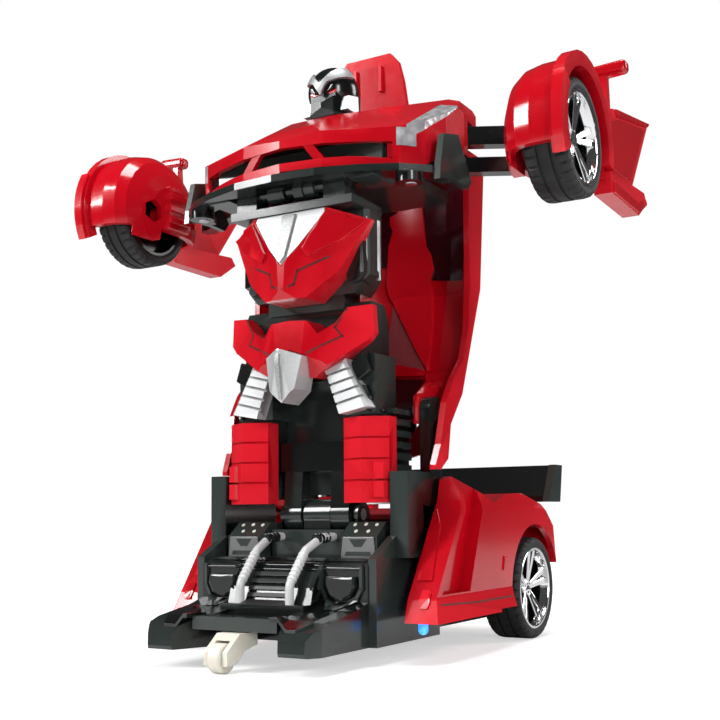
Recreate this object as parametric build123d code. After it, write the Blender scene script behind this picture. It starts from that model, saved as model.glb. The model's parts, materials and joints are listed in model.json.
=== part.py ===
from build123d import *
import os
from math import cos, sin, radians, pi

# Radio-controlled toy car that stands up as a robot, modelled in its standing robot pose.
# Millimetres. The design frame has X to the viewer's right when facing the robot, Y = 0 at the toe
# tips and growing towards the robot's back, and Z = 0 on the ground. The parts are written with the
# origin moved to the ground under the middle of the bounding box.

# ---- driving dimensions -------------------------------------------------------------------------
WHEEL_R = 19.0              # all four road wheels
TYRE_W = 14.5
RIM_R = 15.25               # rim barrel, 0.05 inside the tyre's seat
CAR_HALF = 50.5             # centre plane to the outer face of a rear wheel
GAP = 0.3                   # clearance between pieces that move past each other
FIT = 0.06                  # radial clearance of a running fit
SEAT = 0.05                 # radial clearance of a fixed pin in its hole
WALL = 2.2                  # moulded shell thickness

AXLE_Y, AXLE_Z = 127.5, WHEEL_R
FOLD_Y, FOLD_Z = 58.0, 47.0         # hinge that folds the upright body over the feet
BAR_Y, BAR_Z = 40.0, 157.5          # hinge bar that carries the bonnet unit
SHELL_Y, SHELL_Z = 66.0, 82.0       # hinge screws of the roof shell
HEAD_Y = 66.0

CASTER_R = 4.5
CASTER_WHEEL_Y = -0.5
CASTER_PIVOT_Y = 9.0
SPOILER_REAR_Y = 153.0
CENTRE_Y = (CASTER_WHEEL_Y - CASTER_R + SPOILER_REAR_Y) / 2

SOLE_Z = 5.8
FOOT_HALF = 32.2
FOOT_BACK_Y = 76.0
FRAME_IN, FRAME_OUT = 33.0, 39.4    # outer wall of a leg frame
FRAME_FRONT_Y = 45.0
EAR_IN = 35.7                       # inner face of the ears that hold the roof shell
LUG_X = (33.4, EAR_IN - GAP)        # the roof shell's own lugs

ARM_SWEEP = 28.0                    # degrees that the arm links are swept back
ARM_REACH = 39.0                    # pivot to pivot
SHOULDER_X = 41.0
UPPER_Y, LOWER_Y = 78.0, 71.0       # shoulder pivots of the upper and lower links
LUG_Z = (170.2, 176.2)              # the lugs lie between the two links
LINK_LIFT = (ARM_REACH * cos(radians(ARM_SWEEP)), ARM_REACH * sin(radians(ARM_SWEEP)))
WRIST_X = SHOULDER_X + LINK_LIFT[0]
FRONT_Y, FRONT_Z = 61.8, 165.2      # centre of a raised front wheel
FRONT_OUT = 95.2                    # its outer face

# ---- helpers ------------------------------------------------------------------------------------


def block(x0, x1, y0, y1, z0, z1):
    """Box between two corners."""
    return Pos((x0 + x1) / 2, (y0 + y1) / 2, (z0 + z1) / 2) * Box(x1 - x0, y1 - y0, z1 - z0)


def wide_block(half, y0, y1, z0, z1):
    """Box that is centred on the middle plane."""
    return block(-half, half, y0, y1, z0, z1)


def prism(corners, direction):
    """Extrude a closed 3D polygon along a vector."""
    return Solid.extrude(Face(Wire.make_polygon([Vector(*c) for c in corners], close=True)),
                         Vector(*direction))


def side_prism(points, x0, x1):
    """Extrude a (y, z) outline from x0 to x1."""
    return prism([(x0, y, z) for y, z in points], (x1 - x0, 0, 0))


def front_prism(points, y0, y1):
    """Extrude an (x, z) outline from y0 to y1."""
    return prism([(x, y0, z) for x, z in points], (0, y1 - y0, 0))


def plan_prism(points, z0, z1):
    """Extrude an (x, y) outline from z0 to z1."""
    return prism([(x, y, z0) for x, y in points], (0, 0, z1 - z0))


def both_halves(points):
    """Close the right half of a symmetric outline with its mirror image."""
    return points + [(-a, b) for a, b in reversed(points) if a > 0]


def rod_x(y, z, radius, x0, x1):
    return Pos((x0 + x1) / 2, y, z) * Rot(0, 90, 0) * Cylinder(radius, x1 - x0)


def rod_y(x, z, radius, y0, y1):
    return Pos(x, (y0 + y1) / 2, z) * Rot(90, 0, 0) * Cylinder(radius, y1 - y0)


def rod_z(x, y, radius, z0, z1):
    return Pos(x, y, (z0 + z1) / 2) * Cylinder(radius, z1 - z0)


def mirrored(shape):
    """The left-hand copy of a right-hand shape."""
    return mirror(shape, about=Plane.YZ)


def paired(shape):
    """A right-hand shape fused with its left-hand copy."""
    return shape + mirrored(shape)


def group(*shapes):
    """Several separate solids in one node."""
    return Compound(children=[s for shape in shapes for s in shape.solids()])


def arc_points(y, z, radius, start, end, steps):
    """Points of an arc in the (y, z) plane, angles in degrees from +Y towards +Z."""
    angles = [radians(start + (end - start) * i / steps) for i in range(steps + 1)]
    return [(y + radius * cos(a), z + radius * sin(a)) for a in angles]


def arch(y, z, inner, outer, start, end, x0, x1, steps=20):
    """Part of a ring about the X direction."""
    outline = arc_points(y, z, outer, start, end, steps) + arc_points(y, z, inner, end, start, steps)
    return side_prism(outline, x0, x1)


def save(name, shape):
    """Write one node, moved to the part's own origin."""
    solids = [Pos(0, -CENTRE_Y, 0) * s for s in shape.solids()]
    export_step(solids[0] if len(solids) == 1 else Compound(children=solids), f"parts/{name}.step")


def save_pair(name, right):
    """Write a right-hand node and its mirrored left-hand node."""
    save(f"{name}_right", right)
    save(f"{name}_left", mirrored(right))


# ---- road wheels --------------------------------------------------------------------------------
SPOKES = 5
HUB_R = 3.6
BARREL_R = 13.4
SPOKE_W, SPOKE_T = 3.2, 2.6
DISH = 1.6                  # the spokes lie this far inside the outer face


def tyre(outer_x, y, z):
    ring = rod_x(y, z, WHEEL_R, outer_x - TYRE_W, outer_x)
    ring = chamfer(ring.edges(), 1.2)
    return ring - rod_x(y, z, RIM_R + SEAT, outer_x - TYRE_W - 1, outer_x + 1)


def rim(outer_x, y, z, bore):
    inner_x = outer_x - TYRE_W + 0.4
    barrel = rod_x(y, z, RIM_R, inner_x, outer_x - 0.4) - rod_x(y, z, BARREL_R, inner_x - 1, outer_x)
    face_x = outer_x - DISH
    hub = rod_x(y, z, HUB_R, inner_x + 1.0, face_x)
    spoke = block(face_x - SPOKE_T, face_x, y - SPOKE_W / 2, y + SPOKE_W / 2, z + 1, z + BARREL_R + 0.8)
    spokes = [spoke.rotate(Axis((0, y, z), (1, 0, 0)), 360 * i / SPOKES) for i in range(SPOKES)]
    return barrel + hub + spokes - rod_x(y, z, bore, inner_x, face_x - SPOKE_T)


# ---- rear axle, gear train and motor --------------------------------------------------------------
AXLE_R = 1.5
MODULE = 0.5
GEAR_TEETH, PINION_TEETH = 36, 12
GEAR_X = (9.0, 13.0)
PINION_X = (8.6, 13.4)
MOTOR_Y = AXLE_Y - MODULE * (GEAR_TEETH + PINION_TEETH) / 2 - 0.1
MOTOR_R = 7.6


def gear(teeth, y, z, x0, x1, phase):
    """Spur gear with flat-sided teeth and generous backlash, as a moulded toy gear has."""
    pitch_r = MODULE * teeth / 2
    step = 2 * pi / teeth
    outline = []
    for i in range(teeth):
        middle = radians(phase) + i * step
        for offset, radius in ((-0.27, -1.2), (-0.12, 0.9), (0.12, 0.9), (0.27, -1.2)):
            reach = pitch_r + radius * MODULE
            outline.append((y + reach * cos(middle + offset * step), z + reach * sin(middle + offset * step)))
    return side_prism(outline, x0, x1)


def build_drive():
    half = CAR_HALF - DISH - SPOKE_T - 0.3
    save("rear_axle", rod_x(AXLE_Y, AXLE_Z, AXLE_R, -half, half))
    wheel = gear(GEAR_TEETH, AXLE_Y, AXLE_Z, *GEAR_X, 0) + rod_x(AXLE_Y, AXLE_Z, 4, GEAR_X[0] - 2, GEAR_X[0])
    save("drive_gear", wheel - rod_x(AXLE_Y, AXLE_Z, AXLE_R + SEAT, 0, 20))
    save_pair("rear_tyre", tyre(CAR_HALF, AXLE_Y, AXLE_Z))
    save_pair("rear_rim", rim(CAR_HALF, AXLE_Y, AXLE_Z, AXLE_R + SEAT))
    half_tooth = 180 / PINION_TEETH
    pinion = gear(PINION_TEETH, MOTOR_Y, AXLE_Z, *PINION_X, half_tooth)
    save("motor_pinion", pinion + rod_x(MOTOR_Y, AXLE_Z, 1.0, 4.0, PINION_X[0]))
    can = rod_x(MOTOR_Y, AXLE_Z, MOTOR_R, -19, 4.5) & block(-20, 5, MOTOR_Y - MOTOR_R, MOTOR_Y + 9, 13, 25)
    can += rod_x(MOTOR_Y, AXLE_Z, 3, 4.5, 5.8)
    save("drive_motor", can - rod_x(MOTOR_Y, AXLE_Z, 1.0 + FIT, 3, 7))


# ---- chassis: tray, battery, electronics ----------------------------------------------------------
TRAY_HALF = 33.5
TRAY_FLOOR = (8.0, 10.0)
TRAY_TOP = 30.0
TRAY_END_Y = 146.0
HATCH_HALF, HATCH_Y = 26.0, (80.0, 107.0)
SWITCH_Y = 139.0


def cover_screws(clearance=0.0):
    """Two screws that hold the battery cover, pointing up into the tray."""
    x = HATCH_HALF + 3.5
    middle = (HATCH_Y[0] + HATCH_Y[1]) / 2
    low = TRAY_FLOOR[0]
    screw = rod_z(x, middle, 1.9 + clearance, low - clearance, low + 1.2)
    screw += rod_z(x, middle, 1 + clearance, low, low + 5)
    return [screw, mirrored(screw)]


def build_tray():
    tray = wide_block(TRAY_HALF, FOOT_BACK_Y, TRAY_END_Y, TRAY_FLOOR[0], TRAY_TOP)
    tray -= wide_block(TRAY_HALF - WALL, FOOT_BACK_Y - 1, TRAY_END_Y - WALL, TRAY_FLOOR[1], TRAY_TOP + 1)
    tray -= wide_block(HATCH_HALF, *HATCH_Y, 0, 20)
    for x in (-24.0, -3.0, 16.0, 24.0):
        tray += block(x, x + 3, AXLE_Y - 4, AXLE_Y + 4, TRAY_FLOOR[1] - 0.5, AXLE_Z + 4)
    tray -= rod_x(AXLE_Y, AXLE_Z, AXLE_R + FIT, -40, 40)
    for x in (-18.0, -8.0):
        cradle = block(x, x + 4, MOTOR_Y - MOTOR_R - 1, MOTOR_Y + 4, TRAY_FLOOR[1] - 0.5, 12.9)
        tray += cradle
    for x in (-29.5, 29.5):
        tray += rod_z(x, 93.5, 2.6, TRAY_FLOOR[1] - 0.5, TRAY_FLOOR[1] + 4)
        tray += rod_z(x, 110.0, 2.2, TRAY_FLOOR[1] - 0.5, 26.6)
        tray += rod_z(x, 80.0, 2.2, TRAY_FLOOR[1] - 0.5, 26.6)
    tray -= block(-5, 5, SWITCH_Y - 1.8, SWITCH_Y + 1.8, 0, 11)
    for screw in cover_screws(SEAT):
        tray -= screw
    tray -= rod_x(AXLE_Y, AXLE_Z, MODULE * GEAR_TEETH / 2 + 0.85, GEAR_X[0] - 0.5, GEAR_X[1] + 0.5)
    save("chassis_tray", tray)

    cover = wide_block(HATCH_HALF - 0.2, HATCH_Y[0] + 0.2, HATCH_Y[1] - 0.2, TRAY_FLOOR[0], TRAY_FLOOR[1])
    for i in range(5):
        y = HATCH_Y[0] + 5.5 + i * 4
        cover -= wide_block(14, y, y + 1.6, TRAY_FLOOR[0] - 1, TRAY_FLOOR[0] + 0.6)
    save("battery_cover", cover)

    pack = [rod_x(HATCH_Y[0] + 6.8 + 13.4 * i, 17.0, 6.6, -25, 25) for i in range(2)]
    tie = wide_block(24.5, HATCH_Y[0] + 4, HATCH_Y[1] - 4, 11.0, 23.4)
    save("battery_pack", pack[0] + pack[1] + tie)

    board = wide_block(31.0, 78.0, 112.0, 26.6, 28.2)
    parts = block(-20, -8, 86, 96, 28.2, 30.6) + block(4, 9, 84, 94, 28.2, 31.8)
    parts += block(14, 22, 98, 106, 28.2, 33)
    parts += rod_z(-14, 104, 3, 28.2, 35)
    save("circuit_board", board + parts)

    knob = block(-4.5, -0.5, SWITCH_Y - 1.4, SWITCH_Y + 1.4, 6.4, 10.3)
    save("power_switch", knob + block(-6.5, 1.5, SWITCH_Y - 3, SWITCH_Y + 3, 10.3, 11.6))


def hinge_screw(clearance=0.0):
    """Right-hand shouldered screw on which the roof shell turns."""
    head = rod_x(SHELL_Y, SHELL_Z, 2.6, LUG_X[0] - 1.4, LUG_X[0] - GAP)
    return head + rod_x(SHELL_Y, SHELL_Z, 1.6 + clearance, LUG_X[0] - GAP, FRAME_OUT - 0.8)


def spoiler_screw(clearance=0.0):
    """Right-hand screw through the spoiler's foot into the deck."""
    return rod_z(30, 142, 1.8 + clearance, 53.6, 54.8) + rod_z(30, 142, 0.9 + clearance, 47.5, 53.6)


# ---- rear bodywork --------------------------------------------------------------------------------
QUARTER_IN = 40.6
QUARTER_SIDE = [(39.5, 13.0), (42, 20), (54.5, 38), (64, 51.5), (66, 58.5), (70, 59.6), (84, 53.6),
                (91, 50.5),
                (104, 54), (120, 54.5), (136, 50.5), (147, 42), (150, 26), (146, 20), (146, 13)]
RECESS_SIDE = [(46.5, 21.5), (67.6, 21.5), (79.5, 50), (81, 70), (74, 70), (66.5, 50), (58.5, 38)]
RECESS_X = 46.6
ARCH_R = 23.8
DECK_HALF = 33.8
LED_X, LED_Y, LED_R = 44.2, 45.5, 1.6


def quarter_skin(inset):
    """Side outline of a rear quarter, shrunk by inset for the inside of the moulding."""
    middle_y, middle_z = 95.0, 33.0
    span_y, span_z = 55.0, 22.0
    points = []
    for y, z in QUARTER_SIDE:
        points.append((y - inset * (y - middle_y) / span_y, z - inset * (z - middle_z) / span_z))
    return points


def build_rear_body():
    flank = [(QUARTER_IN, 61.5), (43, 59.5), (CAR_HALF - 2.2, 54), (CAR_HALF, 48), (CAR_HALF, 21),
             (CAR_HALF + 1.8, 13),
             (QUARTER_IN - 7, 13), (QUARTER_IN - 7, 61.5)]
    inner_flank = [(x - WALL, z - 1.6) if z > 20 else (x - WALL, z - 4) for x, z in flank[:6]]
    inner_flank += [(QUARTER_IN - 9, 9), (QUARTER_IN - 9, 59.9)]
    outer = side_prism(quarter_skin(0), QUARTER_IN - 6.6, CAR_HALF + 3) & front_prism(flank, 30, 160)
    outer -= side_prism(RECESS_SIDE, RECESS_X, CAR_HALF + 3)
    inner = side_prism(quarter_skin(WALL), QUARTER_IN - 9, CAR_HALF + 3) & front_prism(inner_flank, 30, 160)
    inner -= block(RECESS_X - WALL, CAR_HALF + 3, 40, 83, 18.5, 70)
    quarter = outer - inner
    quarter -= block(QUARTER_IN - 9, QUARTER_IN, 30, 92, 0, 70)
    quarter -= block(QUARTER_IN - 9, CAR_HALF + 2, 90, 160, 0, 14)
    quarter -= rod_x(AXLE_Y, AXLE_Z, ARCH_R, QUARTER_IN - 9, CAR_HALF + 2)
    quarter -= rod_z(LED_X, LED_Y, LED_R + SEAT, 10, 16)
    web = block(TRAY_HALF, 42, 84, 87, 16, 28) + block(40.6, 49, 84, 87, 14, 50)
    save_pair("rear_quarter", quarter + web)

    deck_side = [(96, 47), (104, 49), (128, 49.5), (144, 47.5), (150, 42), (150, 24), (147, 18)]
    deck_inside = [(94, 44.8), (104, 46.8), (128, 47.3), (143, 45.3), (147.6, 41), (147.6, 24), (145, 16)]
    deck = side_prism(deck_side + [(94, 18)], -DECK_HALF, DECK_HALF)
    deck -= side_prism(deck_inside + [(92, 16)], -DECK_HALF + WALL, DECK_HALF - WALL)
    deck -= wide_block(DECK_HALF + 1, 90, TRAY_END_Y, 10, TRAY_TOP)
    for i in range(5):
        deck -= wide_block(22, 104 + 6 * i, 106.4 + 6 * i, 40, 55)
    feet = block(27, 33, 139.4, 144.6, 45.5, 51.4)
    deck += paired(feet)
    screw_hole = spoiler_screw(SEAT)
    deck -= paired(screw_hole)
    save("rear_deck", deck)

    blade = side_prism([(138.5, 51.4), (145, 51.4), (SPOILER_REAR_Y, 64), (SPOILER_REAR_Y, 66), (149.5, 66),
                        (139.5, 53.6)],
                       -50, 50)
    blade += paired(side_prism([(137, 51.4), (150, 51.4), (SPOILER_REAR_Y, 66), (145, 66)], 50, 52.6))
    blade -= paired(screw_hole)
    save("spoiler", blade)

    led = rod_z(LED_X, LED_Y, LED_R, 10.6, 15) + Pos(LED_X, LED_Y, 10.6) * Sphere(LED_R)
    led += rod_z(LED_X, LED_Y, 2.2, 15, 17.5)
    save("under_lights", group(led, mirrored(led)))
    screws = [hinge_screw(), mirrored(hinge_screw()), spoiler_screw(),
              mirrored(spoiler_screw())] + cover_screws()
    save("chassis_screws", group(*screws))


# ---- feet and leg frames --------------------------------------------------------------------------
LEDGE_Z = 19.0
HOSE_X = (10.4, 9.5)
HOSE_R = 1.4
BOX_X = (15.9, 29.6)


def build_feet():
    sides = [(0.8, SOLE_Z), (0, 7), (0.4, 10.8), (2.6, 13), (9, 15.2), (24, 17.6), (31.5, 19.6), (31.5, 31),
             (36, 33), (FOOT_BACK_Y, 33),
             (FOOT_BACK_Y, SOLE_Z)]
    centre = [(24, 11.9), (20, 11.9), (19.6, LEDGE_Z), (24, LEDGE_Z), (25.5, 24), (32, 31.6), (36, 33),
              (60, 33), (60, 11.9)]
    foot = side_prism(sides, -FOOT_HALF, FOOT_HALF)
    foot -= wide_block(13.2, -1, 36, 0, 40)
    foot -= paired(plan_prism([(13, -1), (20.3, -1), (13, 17)], 0, 40))
    foot -= paired(plan_prism([(28.4, -1), (40, -1), (40, 12), (32.3, 5)], 0, 40))
    foot += side_prism(centre, -15.9, 15.9)
    foot -= rod_z(0, CASTER_PIVOT_Y, 15.2, 0, 11.9)
    hollow = side_prism([(38, 8), (38, 30.8), (FOOT_BACK_Y - 4, 30.8), (FOOT_BACK_Y - 4, 8)], -30, 30)
    foot -= hollow
    foot += wide_block(15.9, CASTER_PIVOT_Y - 3.4, 24, 11.9, 16.0)
    foot += wide_block(14.4, 47, 50, 33, 42)
    foot -= rod_z(0, CASTER_PIVOT_Y, 1.8 + FIT, 5, 17)
    foot -= wide_block(13.6 + GAP, 50, FOOT_BACK_Y + 1, 30, 34)
    save("foot_housing", foot)

    lamp = rod_y(22.3, 25.0, 4.8, 29.4, 31.5) - rod_y(22.3, 25.0, 3.6, 29, 30.4)
    save("foot_lamps", group(lamp, mirrored(lamp)))

    box = side_prism([(42.2, 33), (42.2, 39.8), (48.5, 44.5), (50, 44.5), (50, 33)], *BOX_X)
    box -= side_prism([(41, 34.4), (41, 38.6), (43.4, 38.6), (43.4, 34.4)], BOX_X[0] + 2, BOX_X[1] - 2)
    save_pair("light_box", box)

    route = [(HOSE_X[1], 21.8, LEDGE_Z), (HOSE_X[1], 21.8, 25), (HOSE_X[1], 31, 35.5), (HOSE_X[0], 40, 39.6),
             (HOSE_X[0], 47, 39.6)]
    path = FilletPolyline(*route, radius=4.5)
    profile = Plane(origin=route[0], z_dir=(0, 0, 1)) * Circle(HOSE_R)
    hose = sweep(profile, path=path)
    save("leg_hoses", group(hose, mirrored(hose)))


def build_leg_frames():
    outer = side_prism([(FRAME_FRONT_Y, 33), (FRAME_FRONT_Y, 60.8), (60, 60.8), (FOOT_BACK_Y, 54),
                        (FOOT_BACK_Y, 33)],
                       FRAME_IN, FRAME_OUT)
    outer += block(EAR_IN, FRAME_OUT, SHELL_Y - 4.6, SHELL_Y + 4.6, 54, SHELL_Z)
    outer += rod_x(SHELL_Y, SHELL_Z, 4.6, EAR_IN, FRAME_OUT)
    outer -= side_prism([(56, 37), (56, 50), (72, 48), (72, 37)], FRAME_IN + 2, FRAME_OUT + 1)
    foot_side = side_prism([(32, SOLE_Z), (32, 33), (FRAME_FRONT_Y, 40), (FOOT_BACK_Y, 40),
                            (FOOT_BACK_Y, SOLE_Z)],
                           FOOT_HALF, FRAME_OUT - 4.4)
    inner = side_prism([(50, 33), (50, 44.5), (FOOT_BACK_Y, 44.5), (FOOT_BACK_Y, 33)], 14.8, FRAME_IN)
    lug = rod_x(FOLD_Y, FOLD_Z, 4.2, 14.0, 15.7) + block(14.8, 15.7, 54, 62, 44, 47)
    frame = outer + foot_side + inner + lug
    frame -= side_prism([(54, 36), (54, 42.3), (72, 42.3), (72, 36)], 17, 31)
    frame -= rod_x(FOLD_Y, FOLD_Z, 2.0 + FIT, 10, 20)
    frame -= hinge_screw(SEAT)
    save_pair("leg_frame", frame)

    gearbox = wide_block(13.6, 51, 71.6, 8, 38)
    gearbox = chamfer(gearbox.edges().filter_by(Axis.Y), 2)
    gearbox += wide_block(5.3, 53, 63, 38, FOLD_Z) + rod_x(FOLD_Y, FOLD_Z, 5.4, -5.3, 5.3)
    gearbox -= rod_x(FOLD_Y, FOLD_Z, 2.0 + FIT, -10, 10)
    save("transform_gearbox", gearbox)


def build_caster():
    stem = rod_z(0, CASTER_PIVOT_Y, 1.8, 9.0, 15.6)
    crown = rod_z(0, CASTER_PIVOT_Y, 4.3, 7.6, 11.5)
    cheeks = side_prism([(-3.4, 2.6), (-3.4, 6.6), (3, 11.5), (12, 11.5), (12, 7.6), (5.6, 6.2),
                         (1.0, 2.6)], -4.3, 4.3)
    fork = cheeks + crown
    fork -= block(-2.6, 2.6, -6, CASTER_PIVOT_Y - 3.6, 0, 9.6)
    fork += stem
    fork += rod_x(CASTER_WHEEL_Y, CASTER_R, 0.9, -4.3, 4.3)
    save("caster_fork", fork)
    wheel = rod_x(CASTER_WHEEL_Y, CASTER_R, CASTER_R, -2.2, 2.2)
    wheel = fillet(wheel.edges(), 0.7)
    save("caster_wheel", wheel - rod_x(CASTER_WHEEL_Y, CASTER_R, 0.9 + FIT, -3, 3))


# ---- upright body ---------------------------------------------------------------------------------
BODY_Y = 46.0               # front plane that the armour plates are fixed to
SHIN_Z = (50.8, 79.0)
COLUMN_BOTTOM = 52.4


def build_legs():
    shin_plan = [(15.3, 45.8), (23.8, 42.3), (31.9, 46.8), (31.9, 52), (15.3, 52)]
    shin = plan_prism(shin_plan, *SHIN_Z)
    shin += plan_prism([(26.6, 44.6), (28, 43.4), (31, 44.4), (31.9, 46.6), (28, 47)], 52.5, 64)
    for i in range(3):
        z = SHIN_Z[0] + 7 * (i + 1)
        shin -= plan_prism([(14, 45.0), (23.8, 41.4), (33, 46.6), (33, 46.0), (23.8, 40), (14, 43)], z,
                           z + 0.7)
        shin -= plan_prism([(14, 46.4), (23.8, 42.9), (33, 47.9), (33, 40), (14, 40)], z, z + 0.7)
    save_pair("shin", shin)

    thigh = front_prism([(11.0, 95.4), (18.6, 98.4), (27.4, 82.0), (16.6, 80.0)], 40.6, BODY_Y)
    thigh = chamfer(thigh.edges().filter_by(Plane.XZ).sort_by(Axis.Y)[0:2], 1.0)
    for i in range(4):
        t = (i + 0.8) / 4.8
        x, z = 11.0 + 5.6 * t, 95.4 - 15.4 * t
        thigh -= front_prism([(x - 2, z), (x + 11, z + 3.2), (x + 11, z + 2.3), (x - 2, z - 0.9)], 40, 41.8)
    save_pair("thigh", thigh - hip_body())


def hip_body():
    front = front_prism(both_halves([(0, 93), (8.2, 92.4), (26.6, 103.8), (28.8, 106.4), (28.2, 115.8),
                                     (20.4, 115),
                                     (16.6, 110), (10.8, 106.6), (7.2, 111.2), (0, 111.8)]), 30, BODY_Y)
    side = side_prism([(41, 90), (35.6, 100), (36, 117), (BODY_Y, 117), (BODY_Y, 90)], -30, 30)
    plan = plan_prism(both_halves([(0, 34.6), (12, 37.0), (28.8, 43.4), (28.8, BODY_Y)]), 80, 120)
    return front & side & plan


def build_body_frame():
    column = block(16, 31.2, 52, 64, COLUMN_BOTTOM, 82)
    for i in range(7):
        z = COLUMN_BOTTOM + 3.4 + 3.8 * i
        column -= block(30.2, 33, 51, 65, z, z + 1.6)
    column += block(10.5, 27.5, BODY_Y, 60, 80, 100)
    frame = paired(column)
    knuckle = rod_x(FOLD_Y, FOLD_Z, 6.2, 6.0, 13.2)
    knuckle += side_prism([(52, FOLD_Z), (53.5, 64), (62.5, 64), (64, FOLD_Z)], 6.0, 13.2)
    frame += paired(knuckle)
    frame += wide_block(17, 53, 63, 62, 72)
    frame += side_prism([(BODY_Y, 92), (BODY_Y, 114), (48, 118), (57, 118), (60, 112), (60, 92)], -25, 25)
    frame += wide_block(15.5, 46.5, 57, 116, 124)
    torso = front_prism(both_halves([(20, 121), (25, 127), (25, 149.2)]), BODY_Y, 57)
    torso = chamfer(torso.edges().filter_by(Axis.Z), 1.5)
    frame += torso
    frame -= rod_x(FOLD_Y, FOLD_Z, 2.0 + SEAT, -20, 20)
    frame -= wide_block(13.6, 40, 70, 80, 88)
    save("body_frame", frame)
    post = side_prism([(36.4, 152), (36.4, 160), (38.4, 161.4), (42, 161.4), (43.6, 160), (43.6, 152)],
                      13.6, 21.8)
    plate = wide_block(24.5, 36.4, 57, 149.2, 152)
    bracket = plate + paired(post)
    bracket -= rod_x(BAR_Y, BAR_Z, 2.4 + SEAT, -30, 30)
    save("shoulder_bracket", bracket)
    pins = [rod_x(FOLD_Y, FOLD_Z, 2.0, -15.6, 15.6), rod_x(BAR_Y, BAR_Z, 2.4, -21.6, 21.6)]
    save("hinge_pins", group(*pins))


CHEST_TOP = 149.0


def chest_body():
    front = front_prism(both_halves([(8, 118.5), (18, 127), (22, 134), (27.8, 144.4), (14, CHEST_TOP)]), 25,
                        BODY_Y)
    side = side_prism([(33.5, 117), (31.0, 121), (31.2, 131), (37.5, 150), (BODY_Y, 150), (BODY_Y, 117)],
                      -30, 30)
    plan = plan_prism(both_halves([(0, 30.6), (14, 36.2), (28, 44.2), (28, BODY_Y)]), 110, 155)
    return front & side & plan


def build_torso():
    silver = both_halves([(0, 129.6), (6, 136), (14.2, 147.4), (13.6, 150.5)])
    chest = chest_body()
    insert_zone = front_prism(silver, 25, 42)
    plate = chest - insert_zone
    groove = front_prism([(4, 128), (15, 139), (24.5, 143), (24.9, 142), (15.8, 137.6), (5, 127)], 20, 38.6)
    plate -= paired(groove) & Pos(0, 0.7, 0) * chest_body()
    save("chest_plate", plate)
    save("chest_insert", chest & front_prism(both_halves([(0, 130), (5.8, 136.2), (13.9, 147.4),
                                                          (13.3, 150)]), 25, 41.8))

    crotch_shape = both_halves([(0, 83.4), (5.2, 88), (7.4, 99.4), (0, 102)])
    save("hip_plate", hip_body() - front_prism(crotch_shape, 20, 42))
    crotch = front_prism(both_halves([(0, 83.8), (4.9, 88.2), (7.1, 99.2), (0, 101.6)]), 25, 41.8)
    crotch &= side_prism([(31.6, 83), (28.9, 100), (29.5, 103), (42, 103), (42, 83)], -30, 30)
    crotch &= plan_prism(both_halves([(0, 28.9), (8, 33.4), (8, 42)]), 80, 105)
    save("crotch_plate", crotch)


# ---- bonnet unit ----------------------------------------------------------------------------------
BONNET_SIDE_X = 49.6


def bonnet_solid(inset):
    """Bonnet volume, shrunk by inset, from its three outlines."""
    plan = [(0, 30.4 + inset), (16, 32.2 + inset), (30, 36.8 + inset), (40 - inset * 0.5, 42 + inset),
            (45.6 - inset, 48.6 + inset * 0.5), (48.8 - inset, 58), (BONNET_SIDE_X - inset, 71 + inset),
            (47.4 - inset, 86 + inset), (0, 86 + inset)]
    side = [(28, 150), (28, 170.4 - inset), (30.4, 172 - inset), (38, 178.4 - inset), (50, 185.6 - inset),
            (66, 190.6 - inset), (90, 197.5 - inset), (90, 150)]
    front = [(0, 199 - inset), (20, 198 - inset), (38, 195 - inset), (46 - inset, 191.5 - inset),
             (BONNET_SIDE_X - inset, 185 - inset), (BONNET_SIDE_X - inset, 150)]
    solid = plan_prism(both_halves(plan), 150, 200) & side_prism(side, -60, 60)
    solid &= front_prism(both_halves(front), 20, 95)
    for sign in (-1, 1):
        slope = Plane(origin=(16 * sign, 30, 172), z_dir=(0.196 * sign, -0.496, 0.844)).offset(-inset)
        solid = split(solid, slope, keep=Keep.BOTTOM)
    return solid


def headlight_zone(inset=0.0):
    """Space of the right-hand headlight: upright lens at the corner and a swept-back tail."""
    lens = [(38.6 + inset, 166.8 + inset), (38.6 + inset, 173), (60, 173), (60, 166.8 + inset)]
    upright = front_prism(lens, 30, 46.4 - inset)
    tail = side_prism([(38, 171), (38, 190), (69 - inset, 196), (69 - inset, 187.4), (60, 181), (52, 175.6),
                       (46, 171)],
                      41.2 + inset, 60)
    return upright + tail


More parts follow.
